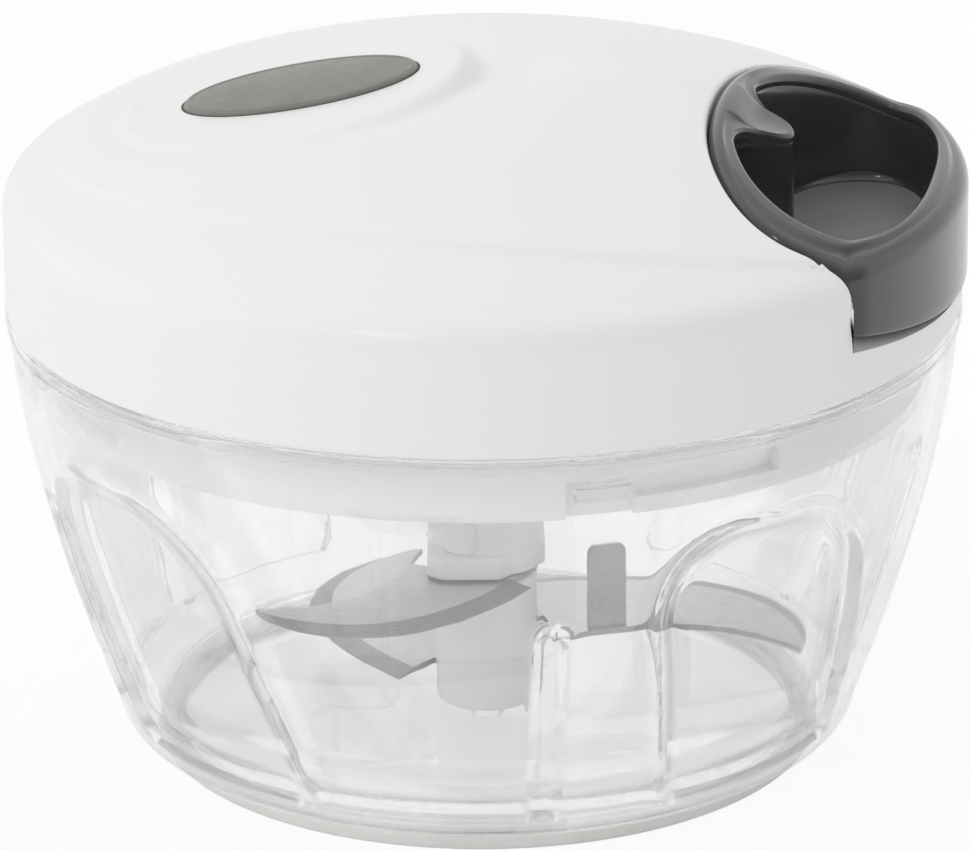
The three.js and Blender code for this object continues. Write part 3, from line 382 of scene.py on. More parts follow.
def piece_from(name, points, faces, crisp_degrees=32.0):
    """A piece from points in mm and faces: welded, turned outwards, shaded smooth but at crisp edges."""
    mesh = bpy.data.meshes.new(name)
    mesh.from_pydata((np.asarray(points, float).reshape(-1, 3) * MM).tolist(), [], faces)
    work = bmesh.new()
    work.from_mesh(mesh)
    bmesh.ops.remove_doubles(work, verts=work.verts, dist=1e-7)
    bmesh.ops.dissolve_degenerate(work, edges=work.edges, dist=1e-8)
    bmesh.ops.recalc_face_normals(work, faces=work.faces)
    if work.calc_volume(signed=True) < 0:
        bmesh.ops.reverse_faces(work, faces=work.faces)
    work.to_mesh(mesh)
    work.free()
    mesh.polygons.foreach_set("use_smooth", np.ones(len(mesh.polygons), bool))
    mesh.set_sharp_from_angle(angle=math.radians(crisp_degrees))
    return add_object(name, mesh)


def grid_faces(rows, columns, round_rows):
    """Quads over a grid whose columns run round. round_rows also joins the last row to the first."""
    i = np.arange(rows if round_rows else rows - 1)[:, None]
    j = np.arange(columns)[None, :]
    below, above = i * columns, ((i + 1) % rows) * columns
    right = (j + 1) % columns
    return np.stack([below + j, below + right, above + right, above + j], -1).reshape(-1, 4).tolist()


def skin_piece(name, grid, round_rows=False, crisp_degrees=32.0):
    """A piece over rows of points. A row of equal points closes as a pole."""
    return piece_from(name, grid, grid_faces(*grid.shape[:2], round_rows), crisp_degrees)


def about_axis(reach, angle, height):
    """Points at a reach and an angle from the upright axis, at a height."""
    return np.stack(np.broadcast_arrays(reach * np.cos(angle), reach * np.sin(angle), height), -1)


def on_circle(reach, degrees):
    """The plan point at a reach and an angle from the axis."""
    return np.array([math.cos(math.radians(degrees)), math.sin(math.radians(degrees))]) * reach


def polar_grid(levels, angle, centre=(0.0, 0.0)):
    """Rows of points round an upright axis. A level is a reach and a height: numbers or functions of the angle."""
    at_angle = lambda value: value(angle) if callable(value) else value
    rows = [about_axis(at_angle(reach), angle, at_angle(height)) for reach, height in levels]
    return np.array(rows) + (*centre, 0.0)


def whole_turn(columns):
    """Even angles once round."""
    return np.linspace(0, 2 * np.pi, columns, endpoint=False)


def turned(name, profile, columns=192, centre=(0.0, 0.0), crisp_degrees=32.0, closed=True):
    """A profile of (radius, height) points turned round the vertical axis through centre."""
    return skin_piece(name, polar_grid(profile, whole_turn(columns), centre), closed, crisp_degrees)


def capped(grid):
    """The same rows with one point before the first and one after the last, so that both ends close."""
    ends = [np.repeat(row.mean(0)[None, None], grid.shape[1], 1) for row in (grid[0], grid[-1])]
    return np.concatenate([ends[0], grid, ends[1]])


def rounded(profile, radius, steps=5):
    """A closed profile with each corner taken off by a short curve, whose reach is at most radius."""
    line = np.asarray(profile, float)
    made = []
    for before, at, after in zip(np.roll(line, 1, 0), line, np.roll(line, -1, 0)):
        back, on = before - at, after - at
        lengths = np.hypot(*back), np.hypot(*on)
        if at[0] < 1e-6 or min(lengths) < 1e-6:
            made.append(at)
            continue
        reach = min(radius, 0.45 * lengths[0], 0.45 * lengths[1])
        first, last = at + back / lengths[0] * reach, at + on / lengths[1] * reach
        for t in np.linspace(0, 1, steps):
            made.append((1 - t) ** 2 * first + 2 * t * (1 - t) * at + t * t * last)
    return np.array(made)


def rectangle(left, right, low, high):
    """The four corners of a section, round from its lower left."""
    return [(left, low), (right, low), (right, high), (left, high)]


def tube(name, path, radius, sides=20, relief=None, loop=False):
    """A round tube along a path of points. relief(angle, length) adds to the radius, and loop joins the ends."""
    points = np.asarray(path, float)
    along = (np.roll(points, -1, 0) - np.roll(points, 1, 0)) if loop else np.gradient(points, axis=0)
    along /= np.linalg.norm(along, axis=1)[:, None]
    side = np.cross(along, (0.0, 0.0, 1.0))
    side /= np.linalg.norm(side, axis=1)[:, None]
    over = np.cross(side, along)
    length = np.concatenate([[0], np.cumsum(np.linalg.norm(np.diff(points, axis=0), axis=1))])
    angle = whole_turn(sides)
    reach = np.full((len(points), sides), float(radius))
    if relief is not None:
        reach = reach + relief(angle[None, :], length[:, None])
    grid = points[:, None] + reach[..., None] * (
        np.cos(angle)[None, :, None] * side[:, None] + np.sin(angle)[None, :, None] * over[:, None])
    return skin_piece(name, grid if loop else capped(grid), round_rows=loop)


def joined(name, parts):
    """Several pieces made one, as loose shells of one mesh."""
    work = bmesh.new()
    for part in parts:
        work.from_mesh(part.data)
        bpy.data.objects.remove(part)
    mesh = bpy.data.meshes.new(name)
    work.to_mesh(mesh)
    work.free()
    return add_object(name, mesh)


# Bowl

def wall_radius(z):
    """Radius of the bowl's outer wall: it narrows to the foot by a power of the height."""
    height = RIM_TOP - BEAD_HEIGHT
    return RIM_RADIUS - BEAD_STEP - WALL_TAPER * np.maximum(0, 1 - z / height) ** WALL_TAPER_SHARE


def panel_distance(z, angle):
    """Distance to the edge of the nearest leaning window panel, in mm along the wall: negative inside it."""
    climb = np.clip(z / PANEL_TOP, 0, 1)
    middle = PANEL_MIDDLE + PANEL_LEAN * climb
    half_turn = 180 / PANEL_COUNT
    off = (angle - middle + half_turn) % (2 * half_turn) - half_turn
    radius = wall_radius(z)
    half = radius * np.radians(PANEL_HALF - PANEL_NARROWING * climb)
    along = np.abs(radius * np.radians(off))
    centre = (PANEL_TOP + PANEL_BOTTOM) / 2
    corner = np.where(z > centre, PANEL_TOP_ROUND, PANEL_FOOT_ROUND)
    dx = along - (half - corner)
    dz = np.abs(z - centre) - ((PANEL_TOP - PANEL_BOTTOM) / 2 - corner)
    return np.hypot(np.maximum(dx, 0), np.maximum(dz, 0)) + np.minimum(np.maximum(dx, dz), 0) - corner


def flute_distance(z, angle):
    """Distance to the edge of the nearest upright flute, which ends in a half circle."""
    half_turn = 180 / PANEL_COUNT
    off = (angle - FLUTE_ANGLE + half_turn) % (2 * half_turn) - half_turn
    along = np.abs(wall_radius(z) * np.radians(off))
    above = np.maximum(np.maximum(0, z - (FLUTE_TOP - FLUTE_WIDTH / 2)), PANEL_BOTTOM - z)
    return np.hypot(along, above) - FLUTE_WIDTH / 2


def bowl_relief(z, angle, panel, flute, bead):
    """How far the wall is drawn in: the panels and flutes are steps, with a thin bead round each panel."""
    edge = panel_distance(z, angle)
    pressed = panel * (1 - smooth(edge, -PANEL_EDGE, PANEL_EDGE))
    raised = bead * np.exp(-((edge - PANEL_EDGE) / PANEL_EDGE) ** 2)
    channel = flute * (1 - smooth(flute_distance(z, angle), -FLUTE_EDGE, FLUTE_EDGE))
    return pressed - raised + channel


def make_bowl():
    """The bowl as one shell, from its underside over the rim and down to its floor, and its four lugs."""
    columns = 640
    angle = np.linspace(-180, 180, columns, endpoint=False)
    step = FOOT_RING_INNER - 0.5
    rows = []

    def ring(radius, z, panel=0.0, flute=0.0, bead=0.0):
        reach = radius - bowl_relief(np.full(columns, z), angle, panel, flute, bead)
        rows.append(about_axis(reach, np.radians(angle), float(z)))

    for radius in np.linspace(0, step, 6):
        ring(radius, UNDERSIDE)
    ring(step, FOOT_RISE)
    ring(FOOT_RADIUS - 0.3, FOOT_RISE)
    foot = np.linspace(0, np.pi / 2, 10)
    start, end = FOOT_RADIUS - 0.2, wall_radius(WALL_FOOT)
    for t in foot:
        ring(start + (end - start) * math.sin(t),
             FOOT_RISE + 0.1 + (WALL_FOOT - FOOT_RISE - 0.1) * (1 - math.cos(t)))
    bead_bottom = RIM_TOP - BEAD_HEIGHT
    for z in np.linspace(WALL_FOOT, bead_bottom - 0.4, 66)[1:]:
        ring(wall_radius(z), z, PANEL_DEPTH, FLUTE_DEPTH, PANEL_BEAD)
    for radius, z in rounded([(61.9, bead_bottom - 0.3), (RIM_RADIUS, bead_bottom), (RIM_RADIUS, RIM_TOP),
                              (RIM_RADIUS - RIM_WALL, RIM_TOP), (RIM_RADIUS - RIM_WALL, RIM_TOP - SEAL_STEP)],
                             0.35, 4)[2:-2]:
        ring(radius, z)
    inner_rim = wall_radius(RIM_TOP) - BOWL_WALL
    ring(inner_rim + 0.3, RIM_TOP - SEAL_STEP)
    ring(inner_rim, RIM_TOP - SEAL_STEP - 0.3)
    inner_foot = FLOOR_TOP + FLOOR_FILLET
    for z in np.linspace(RIM_TOP - SEAL_STEP - 1, inner_foot, 52):
        ring(wall_radius(z) - BOWL_WALL, z, PANEL_BULGE)
    reach = wall_radius(inner_foot) - BOWL_WALL - FLOOR_RADIUS
    for t in np.linspace(0, np.pi / 2, 16)[1:]:
        ring(FLOOR_RADIUS + reach * math.cos(t), inner_foot - FLOOR_FILLET * math.sin(t), PANEL_BULGE * math.cos(t))
    for radius in (FLOOR_RADIUS - 0.8, 24.0, 12.0, 4.4):
        ring(radius, FLOOR_TOP)
    ring(PIN_RADIUS + 0.3, FLOOR_TOP)
    ring(PIN_RADIUS + 0.3, PIN_BOTTOM - 0.3)
    ring(0.0, PIN_BOTTOM - 0.3)
    shell = skin_piece("clear_bowl_shell", np.array(rows))
    section = rounded(rectangle(*LUG_REACH, *LUG_HEIGHTS), 0.4, 4)
    lugs = [bent_bar("lug", section, LUG_ANGLE + 90 * k, LUG_HALF, 9) for k in range(4)]
    return shell, joined("bowl_lugs", lugs)


def bent_bar(name, section, middle, half, steps):
    """A short bar that bends about the axis. Angles in degrees."""
    turn = np.radians(np.linspace(middle - half, middle + half, steps))[:, None]
    return skin_piece(name, capped(about_axis(section[:, 0], turn, section[:, 1])))


# Lid

def dome_height(radius):
    """Height of the dome: it falls from the apex by a power of the radius."""
    return DOME_APEX - DOME_DROP * (np.minimum(radius, SHOULDER_START) / DOME_REACH) ** DOME_SHARE


def shoulder_curve(t):
    """The shoulder from dome to skirt as a quadratic curve: t from 0 to 1 gives radius and height."""
    first = np.array([SHOULDER_START, float(dome_height(SHOULDER_START))])
    corner = np.array([LID_RADIUS, first[1] - 0.48 * (LID_RADIUS - SHOULDER_START)])
    last = np.array([LID_RADIUS, SHOULDER_END_HEIGHT])
    t = np.asarray(t, float)[..., None]
    return (1 - t) ** 2 * first + 2 * t * (1 - t) * corner + t * t * last


def outer_height(radius):
    """Height of the lid's outside at a radius, over the dome and the shoulder."""
    t = np.linspace(0, 1, 80)
    curve = shoulder_curve(t)
    return np.where(radius <= SHOULDER_START, dome_height(radius),
                    np.interp(radius, curve[:, 0], curve[:, 1]))


def lid_height(x, y):
    """Height of the top: dome, raised field within an ellipse, tilted island in its moat, scoop and spine."""
    radius = np.hypot(x, y)
    field = 1 - np.hypot((x - CREASE_CENTRE) / CREASE_LENGTH, y / CREASE_WIDTH)
    height = outer_height(radius) + CREASE_RISE * smooth(field, -0.012, 0.012) - CREASE_RISE / 2
    reach = np.hypot(x - ISLAND_CENTRE, y)
    moat = MOAT_DEPTH * np.exp(-((reach - ISLAND_RADIUS) / MOAT_WIDTH) ** 2)
    off_x, off_y = (x - SCOOP_PLACE[0]) / SCOOP_SIZE[0], (y - SCOOP_PLACE[1]) / SCOOP_SIZE[1]
    scoop = SCOOP_DEPTH * np.exp(-(off_x ** 2 + off_y ** 2))
    spine_reach = smooth(x, -8, 0) * (1 - smooth(x, 24, 31))
    spine = SPINE_RISE * spine_reach * np.exp(-((y - np.interp(x, SPINE_X, SPINE_Y)) / SPINE_WIDTH) ** 2)
    height = height - moat - scoop + spine
    top = ISLAND_HEIGHT + ISLAND_SLOPE * (x - ISLAND_CENTRE)
    on_island = 1 - smooth(reach, ISLAND_TOP_RADIUS, ISLAND_RADIUS)
    return height * (1 - on_island) + top * on_island


def arc(radius, turn):
    """Plan points on a circle about the axis."""
    return np.stack([radius * np.cos(turn), radius * np.sin(turn)], -1)


def nose_curve(nose, middle, half):
    """From the nose to the widest place: a quarter of a superellipse."""
    turn = np.linspace(0, np.pi / 2, 140)
    return np.stack([middle - (middle - nose) * np.cos(turn) ** NOSE_POWER, half * np.sin(turn) ** NOSE_POWER], -1)


def both_halves(upper):
    """A closed outline from its upper half, which starts and ends on the X axis."""
    return np.concatenate([upper, upper[::-1][1:-1] * (1, -1)])


def handle_outline(inset, corner):
    """The handle from above: blunt nose, straight sides, round corners, a front on a circle about the axis."""
    nose, half, face = HANDLE_NOSE + inset, HANDLE_HALF - inset, HANDLE_FACE - inset
    end = math.sqrt(face * face - half * half)
    front = arc(face, np.linspace(math.asin(half / face) - corner / face, 0, 90))
    side = np.array([(end - corner, half)])
    s = np.linspace(0, 1, 24)[1:-1, None]
    bend = (1 - s) ** 2 * side + 2 * s * (1 - s) * np.array([end, half]) + s * s * front[0]
    return both_halves(np.concatenate([nose_curve(nose, min(HANDLE_MIDDLE, end - corner - 0.1), half), side, bend,
                                       front]))


def opening_outline():
    """The cup's opening from above: a nose like the handle's and a squarer front."""
    turn = np.linspace(np.pi / 2, 0, 140)[1:]
    front = np.stack([OPENING_MIDDLE + (OPENING_FRONT - OPENING_MIDDLE) * np.cos(turn) ** OPENING_POWER,
                      OPENING_HALF * np.sin(turn) ** OPENING_POWER], -1)
    return both_halves(np.concatenate([nose_curve(OPENING_NOSE, OPENING_MIDDLE, OPENING_HALF), front]))


def polar_reach(outline, centre, angle):
    """Reach of a closed outline from a centre on the X axis at each angle, found between its points."""
    turn = np.arctan2(outline[:, 1], outline[:, 0] - centre)
    order = np.argsort(turn)
    turn, reach = turn[order], np.hypot(outline[:, 0] - centre, outline[:, 1])[order]
    turns = np.concatenate([turn - 2 * np.pi, turn, turn + 2 * np.pi])
    return np.interp((np.asarray(angle) + np.pi) % (2 * np.pi) - np.pi, turns, np.tile(reach, 3))


def reach_to_radius(angle, radius):
    """Distance from the island's centre to the circle of that radius about the axis, along a ray."""
    c = ISLAND_CENTRE
    return -c * np.cos(angle) + np.sqrt(radius ** 2 - (c * np.sin(angle)) ** 2)


def pocket_floor(x, y):
    """The pocket's floor: a little under the handle, sloping down at the lid's rim. Both sag in the middle."""
    rim = POCKET_FLOOR + POCKET_RISE * (y / HANDLE_HALF) ** 2
    share = smooth(np.hypot(x, y), LID_RADIUS - LEDGE_WIDTH, LID_RADIUS)
    return (handle_lower_edge(y) - LEDGE_GAP) * (1 - share) + rim * share


def pocket_outlines():
    """Two outlines about the handle: one that rays from the island meet only once, and the pocket's real one."""
    half, nose = HANDLE_HALF + POCKET_GAP, HANDLE_NOSE - POCKET_GAP
    end = math.sqrt(LID_RADIUS ** 2 - half ** 2)
    t = np.linspace(0, 1, 70)
    ray = np.stack([nose + (end - nose) * t ** 2, half * t ** (2 * RAY_SHARE)], -1)
    front = arc(LID_RADIUS, np.linspace(math.asin(half / LID_RADIUS), 0, 90)[1:])
    real = np.concatenate([nose_curve(nose, HANDLE_MIDDLE, half), [[end, half]], front])
    return ray, both_halves(np.concatenate([ray, front])), both_halves(real)


def carry_to_pocket(x, y, ray_outline, real_outline):
    """Moves points along lines from the handle's centre so that the first outline falls on the second."""
    angle, reach = np.arctan2(y, x - HANDLE_CENTRE), np.hypot(x - HANDLE_CENTRE, y)
    first = polar_reach(ray_outline, HANDLE_CENTRE, angle)
    second = polar_reach(real_outline, HANDLE_CENTRE, angle)
    c = HANDLE_CENTRE
    to_rim = -c * np.cos(angle) + np.sqrt(LID_RADIUS ** 2 - (c * np.sin(angle)) ** 2)
    limit = np.maximum(np.minimum(to_rim, first + WARP_REACH), np.maximum(first, second) + 0.01)
    outside = second + (reach - first) * (limit - second) / (limit - first)
    moved = np.where(reach < first, reach * second / first, np.where(reach < limit, outside, reach))
    return c + moved * np.cos(angle), moved * np.sin(angle)


def make_lid():
    """The lid as one closed shell over rays from the island's centre. Rays that meet the pocket drop at its edge."""
    flank, ray_outline, real_outline = pocket_outlines()
    flank_turn = np.arctan2(flank[:, 1], flank[:, 0] - ISLAND_CENTRE)
    flank_reach = np.hypot(flank[:, 0] - ISLAND_CENTRE, flank[:, 1])
    last = flank_turn[-1]
    plain = np.linspace(last, 2 * np.pi - last, 380)
    angle = np.concatenate([-flank_turn[::-1], flank_turn[1:], plain])
    reach = np.concatenate([flank_reach[::-1], flank_reach[1:], np.zeros(len(plain))])
    in_pocket = np.concatenate([np.ones(2 * len(flank) - 1, bool), np.zeros(len(plain), bool)])
    cos, sin = np.cos(angle), np.sin(angle)

    def at(distance, z, on_circle=None):
        x, y = carry_to_pocket(ISLAND_CENTRE + distance * cos, distance * sin, ray_outline, real_outline)
        if on_circle is not None:
            back = np.where(in_pocket, 1.0, on_circle / np.hypot(x, y))
            x, y = x * back, y * back
        return np.stack([x, y, z(x, y) if callable(z) else np.broadcast_to(z, x.shape)], -1)

    edge = np.where(in_pocket, reach, reach_to_radius(angle, SHOULDER_START))
    rows = []
    inner = np.concatenate([np.linspace(0, 18, 14), np.linspace(18.6, 26.4, 22)])
    shares = np.linspace(0, 1, 62)[1:]
    for d in inner:
        rows.append(at(np.full(angle.shape, d), lid_height))
    for s in shares:
        rows.append(at(inner[-1] + (edge - inner[-1]) * s, lid_height))
    # The pocket's lip is rounded by 0.4 mm. Rays that miss the pocket run over the shoulder and down the skirt.
    lip = at(edge, lid_height)
    floor = pocket_floor(lip[:, 0], lip[:, 1])
    lip = lip[:, 2]
    rim_reach = reach_to_radius(angle, LID_RADIUS)
    steps = 24
    for s in np.arange(1, steps + 1) / steps:
        wall_share, ledge_share = min(1.0, s * 2), max(0.0, s * 2 - 1)
        lip_share = min(1.0, wall_share * 4)
        if ledge_share > 0:
            pocket_reach = edge + ledge_share * (rim_reach - edge) + POCKET_LIP * (1 - ledge_share)
        else:
            pocket_reach = edge + POCKET_LIP * math.sin(lip_share * np.pi / 2)
        curve = shoulder_curve(min(1.0, s * 1.25))
        over = reach_to_radius(angle, float(curve[0]))
        below = SHOULDER_END_HEIGHT - (SHOULDER_END_HEIGHT - SKIRT_STEP) * max(0, s * 5 - 4)
        dome = outer_height(np.full(over.shape, float(curve[0])))
        lift = lid_height(ISLAND_CENTRE + over * cos, over * sin) - dome
        shoulder_z = (curve[1] if s <= 0.8 else below) + lift * max(0, 1 - s * 1.25)
        row = at(np.where(in_pocket, pocket_reach, over), shoulder_z, float(curve[0]))
        wall_z = lip - 0.5 * lip_share - (lip - 0.5 - floor) * max(0, (wall_share - 0.25) / 0.75)
        low = pocket_floor(row[:, 0], row[:, 1]) if ledge_share > 0 else wall_z
        row[in_pocket, 2] = low[in_pocket]
        rows.append(row)
    top = rows[-1][:, 2].copy()
    for s in (0.35, 0.7, 0.9):
        rows.append(at(rim_reach, top + (LID_BOTTOM + 0.5 - top) * s))
    for t in np.linspace(0, np.pi / 2, 5):
        rows.append(at(reach_to_radius(angle, LID_RADIUS - 0.4 * (1 - math.cos(t))),
                       LID_BOTTOM + 0.4 * (1 - math.sin(t))))
    # Inside
    inside = reach_to_radius(angle, LID_RADIUS - LID_WALL)
    rows.append(at(inside, LID_BOTTOM))
    rows.append(at(inside, np.where(in_pocket, floor - POCKET_WALL, 72.0)))
    back = np.where(in_pocket, np.maximum(edge - 1.8, 1.0), reach_to_radius(angle, LID_RADIUS - 3.6))
    rows.append(at(back, np.where(in_pocket, floor - POCKET_WALL, 74.0)))
    under = lambda x, y: np.minimum(lid_height(x, y), dome_height(np.hypot(x, y))) - LID_WALL
    for s in np.linspace(1, 0, 16):
        rows.append(at(back * s, under))
    return skin_piece("lid_shell", np.array(rows), crisp_degrees=38)


def badge_height(x):
    """Height of the island's plane at the badge."""
    return ISLAND_HEIGHT + ISLAND_SLOPE * (x - ISLAND_CENTRE)


def oval_grid(levels, columns=160):
    """Rows of ovals on the tilted island. A level is a share of the size, an inset in mm and a height above it."""
    angle = whole_turn(columns)
    rows = []
    for share, inset, height in levels:
        x = BADGE_CENTRE + (BADGE_HALF_LENGTH * share - inset) * np.cos(angle)
        y = (BADGE_HALF_WIDTH * share - inset) * np.sin(angle)
        rows.append(np.stack([x, y, badge_height(x) + height], -1))
    return np.array(rows)


def make_badge():
    """The bare badge: a satin oval face, slightly domed, inside a polished bevel that rolls down to its seat."""
    levels = [(0, 0, -1.2), (1, 0, -1.2), (1, 0, -0.2), (1, 0.06, 0.15), (1, 0.2, 0.42), (1, 0.45, 0.62),
              (1, 0.8, 0.72), (1, 1.1, 0.7), (1, 1.25, 0.62), (1, 1.4, 0.66)]
    levels += [(s, 1.4 * s, 0.66 + 0.55 * (1 - s * s)) for s in np.linspace(0.97, 0, 14)]
    return skin_piece("badge_plate", oval_grid(levels), crisp_degrees=40)


def make_badge_painted_shade_ring():
    """Painted shade round the badge: a dark flat oval ring just above the island, put where the narrow gap to the lid
    lies in shade.
    """
    levels = [(1, -0.3, -0.9), (1, -0.3, 0.03), (1, 0.0, 0.03), (1, 0.0, -0.9)]
    return skin_piece("badge_gap_painted_shade", oval_grid(levels), round_rows=True, crisp_degrees=40)


# Pull handle

def round_front(off, opening, place, radius, share):
    """Reach from the handle's centre to a round front on its axis, and past it out to the opening by a share."""
    distance = HANDLE_CENTRE - place
    turn = math.asin(radius / distance)
    side = distance * math.cos(turn)
    inside = radius ** 2 - (distance * np.sin(off)) ** 2
    hit = distance * np.cos(off) - np.sqrt(np.maximum(inside, 0))
    return np.where((inside > 0) & (off < np.pi / 2), hit, side + (opening - side) * share(turn))


def handle_lower_edge(y):
    """The handle's lower edge: lowest in the middle, rising by the square to the corners."""
    return HANDLE_BOTTOM + HANDLE_BOTTOM_RISE * (y / HANDLE_HALF) ** 2


def make_handle():
    """The cup of the pull handle as one shell: hollow underside, outer wall, rolled rim, tongue, post and floor."""
    dense = np.linspace(np.pi - 0.75, np.pi + 0.75, 221)
    rest = np.linspace(-np.pi + 0.75, np.pi - 0.75, 420)[1:-1]
    angle = np.concatenate([rest, dense])
    cos, sin = np.cos(angle), np.sin(angle)
    outer = polar_reach(handle_outline(0.0, HANDLE_CORNER), HANDLE_CENTRE, angle)
    opening = polar_reach(opening_outline(), HANDLE_CENTRE, angle)
    crest_line = polar_reach(handle_outline(1.8, CREST_CORNER), HANDLE_CENTRE, angle)
    off = np.abs(angle % (2 * np.pi) - np.pi)
    flare = lambda turn: 1 - np.clip((off - turn) / (TONGUE_ROOT - turn), 0, 1)
    top_reach = round_front(off, opening, TONGUE_PLACE, TONGUE_RADIUS, lambda turn: np.sqrt(1 - flare(turn) ** 2))
    low_reach = round_front(off, opening, POST_PLACE, POST_RADIUS, lambda turn: smooth(off, turn, turn + 0.06))
    lean = NOSE_LEAN * (1 - smooth(off, 0.2, 0.6))

    def at(reach, z):
        x, y = HANDLE_CENTRE + reach * cos, reach * sin
        return np.stack([x, y, z(x, y) if callable(z) else np.broadcast_to(z, x.shape)], -1)

    def skin_height(x, y):
        dip = TONGUE_DIP * np.exp(-(y / TONGUE_DIP_WIDTH) ** 2) * smooth(x, 31, 37) * (1 - smooth(x, 46, 52))
        front = FRONT_RISE * smooth(np.hypot(x, y), 57, 62) * smooth(x, 48, 54)
        return outer_height(np.minimum(np.hypot(x, y), LID_RADIUS - 0.9)) - dip + front

    lower_edge = lambda x, y: handle_lower_edge(y)
    rows = [at(0 * outer, HANDLE_UNDER_FLOOR), at(opening * 0.95, HANDLE_UNDER_FLOOR),
            at(opening, lambda x, y: np.minimum(handle_lower_edge(y), HANDLE_UNDER_FLOOR - 0.2)),
            at(outer - lean - 0.5, lower_edge)]
    for inset, lift in ((0.25, 0.08), (0.08, 0.25), (0.0, 0.5)):
        rows.append(at(outer - lean - inset, lambda x, y: handle_lower_edge(y) + lift))
    top_edge = at(outer, skin_height)[:, 2] - EDGE_DROP
    low_edge = handle_lower_edge(outer * sin) + 0.5
    for s in np.linspace(0, 1, 10)[1:]:
        rows.append(at(outer - lean * (1 - smooth(s, 0.55, 0.85)), low_edge + (top_edge - low_edge) * s))
    # The rolled rim: a quarter round at the outside, a broad soft band, and a thin lip at the opening
    band_start = np.minimum(outer - EDGE_DROP, crest_line)
    for t in np.linspace(0, np.pi / 2, 9)[1:]:
        rows.append(at(outer + (band_start - outer) * (1 - math.cos(t)), top_edge + EDGE_RISE * math.sin(t)))
    lip_start = np.minimum(top_reach + LIP_WIDTH, band_start - 0.2)
    crest = at(band_start, top_edge + EDGE_RISE)[:, 2]
    for s in np.linspace(0, 1, 9)[1:]:
        reach = band_start + (lip_start - band_start) * s
        surface = at(reach, skin_height)[:, 2] + EDGE_RISE - EDGE_DROP
        rows.append(at(reach, crest * (1 - smooth(s, 0, 0.5)) + surface * smooth(s, 0, 0.5) - 0.25 * s))
    lip_z = at(lip_start, skin_height)[:, 2] + 0.55
    for t in np.linspace(0, np.pi, 9)[1:]:
        reach = lip_start + (top_reach - lip_start) * math.sin(min(t, np.pi / 2))
        if t > np.pi / 2:
            reach = reach + 0.25 * (1 - math.sin(t))
        rows.append(at(reach, lip_z - 0.8 * (1 - math.cos(t))))
    # Under the lip, down the wall or the post, and over a fillet to the floor
    under_lip = lip_z - LIP_THICKNESS
    rows.append(at(np.maximum(top_reach, low_reach - 0.1) + 0.15, under_lip - 0.1))
    for s in np.linspace(0, 1, 8):
        rows.append(at(low_reach + 0.1 - 0.3 * s,
                       under_lip - 0.3 + (HANDLE_FLOOR + CUP_FILLET - under_lip + 0.3) * s))
    for t in np.linspace(0, np.pi / 2, 6)[1:]:
        rows.append(at(low_reach - 0.2 - CUP_FILLET * (1 - math.cos(t)),
                       HANDLE_FLOOR + CUP_FILLET * (1 - math.sin(t))))
    rows += [at(low_reach * 0.4, HANDLE_FLOOR), at(0 * outer, HANDLE_FLOOR)]
    return skin_piece("handle_cup", np.array(rows), crisp_degrees=50)


# Blade column

def make_spindle():
    """The lower column, a moulded sleeve on the pin with a stub for the collar."""
    bore = PIN_RADIUS + 0.3
    profile = [(bore, SPINDLE_BOTTOM), (SPINDLE_RADIUS, SPINDLE_BOTTOM), (SPINDLE_RADIUS, SPINDLE_TOP),
               (STUB_RADIUS, SPINDLE_TOP), (STUB_RADIUS, STUB_TOP), (0, STUB_TOP), (0, PIN_TOP + 0.3),
               (bore, PIN_TOP + 0.3)]
    return turned("spindle_sleeve", rounded(profile, 0.7), 128)


def flange_reach(angle):
    """Reach of the collar's flange: round, with a block that stands out flat towards the front."""
    around = angle - math.radians(FLANGE_TURN)
    front = FLANGE_FRONT / np.maximum(np.cos(around), 0.05)
    side = FLANGE_SIDE / np.maximum(np.abs(np.sin(around)), 0.05)
    slant = FLANGE_SLANT / np.maximum(np.cos(around - math.radians(45)), 0.05)
    block = np.minimum(np.minimum(np.minimum(front, side), slant), FLANGE_LIMIT)
    sleeve = COLLAR_RADIUS + 0.1
    return np.where(np.cos(around) > 0.0, np.maximum(sleeve, block), sleeve)


def make_collar():
    """The upper column: a sleeve with a clamp flange over the upper blade, and a socket with ribs for the drive."""
    bore = STUB_RADIUS + 0.3
    levels = [(bore, COLLAR_BOTTOM), (lambda a: flange_reach(a) - 0.5, COLLAR_BOTTOM),
              (lambda a: flange_reach(a) - 0.14, COLLAR_BOTTOM + 0.14), (flange_reach, COLLAR_BOTTOM + 0.5),
              (flange_reach, COLLAR_FLANGE_TOP - 0.6), (lambda a: flange_reach(a) - 0.16, COLLAR_FLANGE_TOP - 0.16),
              (lambda a: np.maximum(flange_reach(a) - 0.6, COLLAR_RADIUS), COLLAR_FLANGE_TOP),
              (COLLAR_RADIUS, COLLAR_FLANGE_TOP + 0.1)]
    tail = rounded([(COLLAR_RADIUS, COLLAR_FLANGE_TOP + 0.4), (COLLAR_RADIUS, COLLAR_TOP), (SOCKET_RADIUS, COLLAR_TOP),
                    (SOCKET_RADIUS, COLLAR_TOP - SOCKET_DEPTH), (0.2, COLLAR_TOP - SOCKET_DEPTH)], 0.4)[5:-5]
    levels += [tuple(point) for point in tail]
    levels += [(0.0, COLLAR_TOP - SOCKET_DEPTH), (0.0, STUB_TOP + 0.3),
               (bore - 0.3, STUB_TOP + 0.3), (bore, STUB_TOP)]
    sleeve = skin_piece("collar_sleeve", polar_grid(levels, whole_turn(360)), round_rows=True)
    section = rounded(rectangle(*RIB_REACH, *RIB_HEIGHTS), 0.2, 3)
    ribs = [bent_bar("rib", section, turn, 12.5, 7) for turn in RIB_ANGLES]
    return joined("collar_with_ribs", [sleeve, make_collar_block(), *ribs])


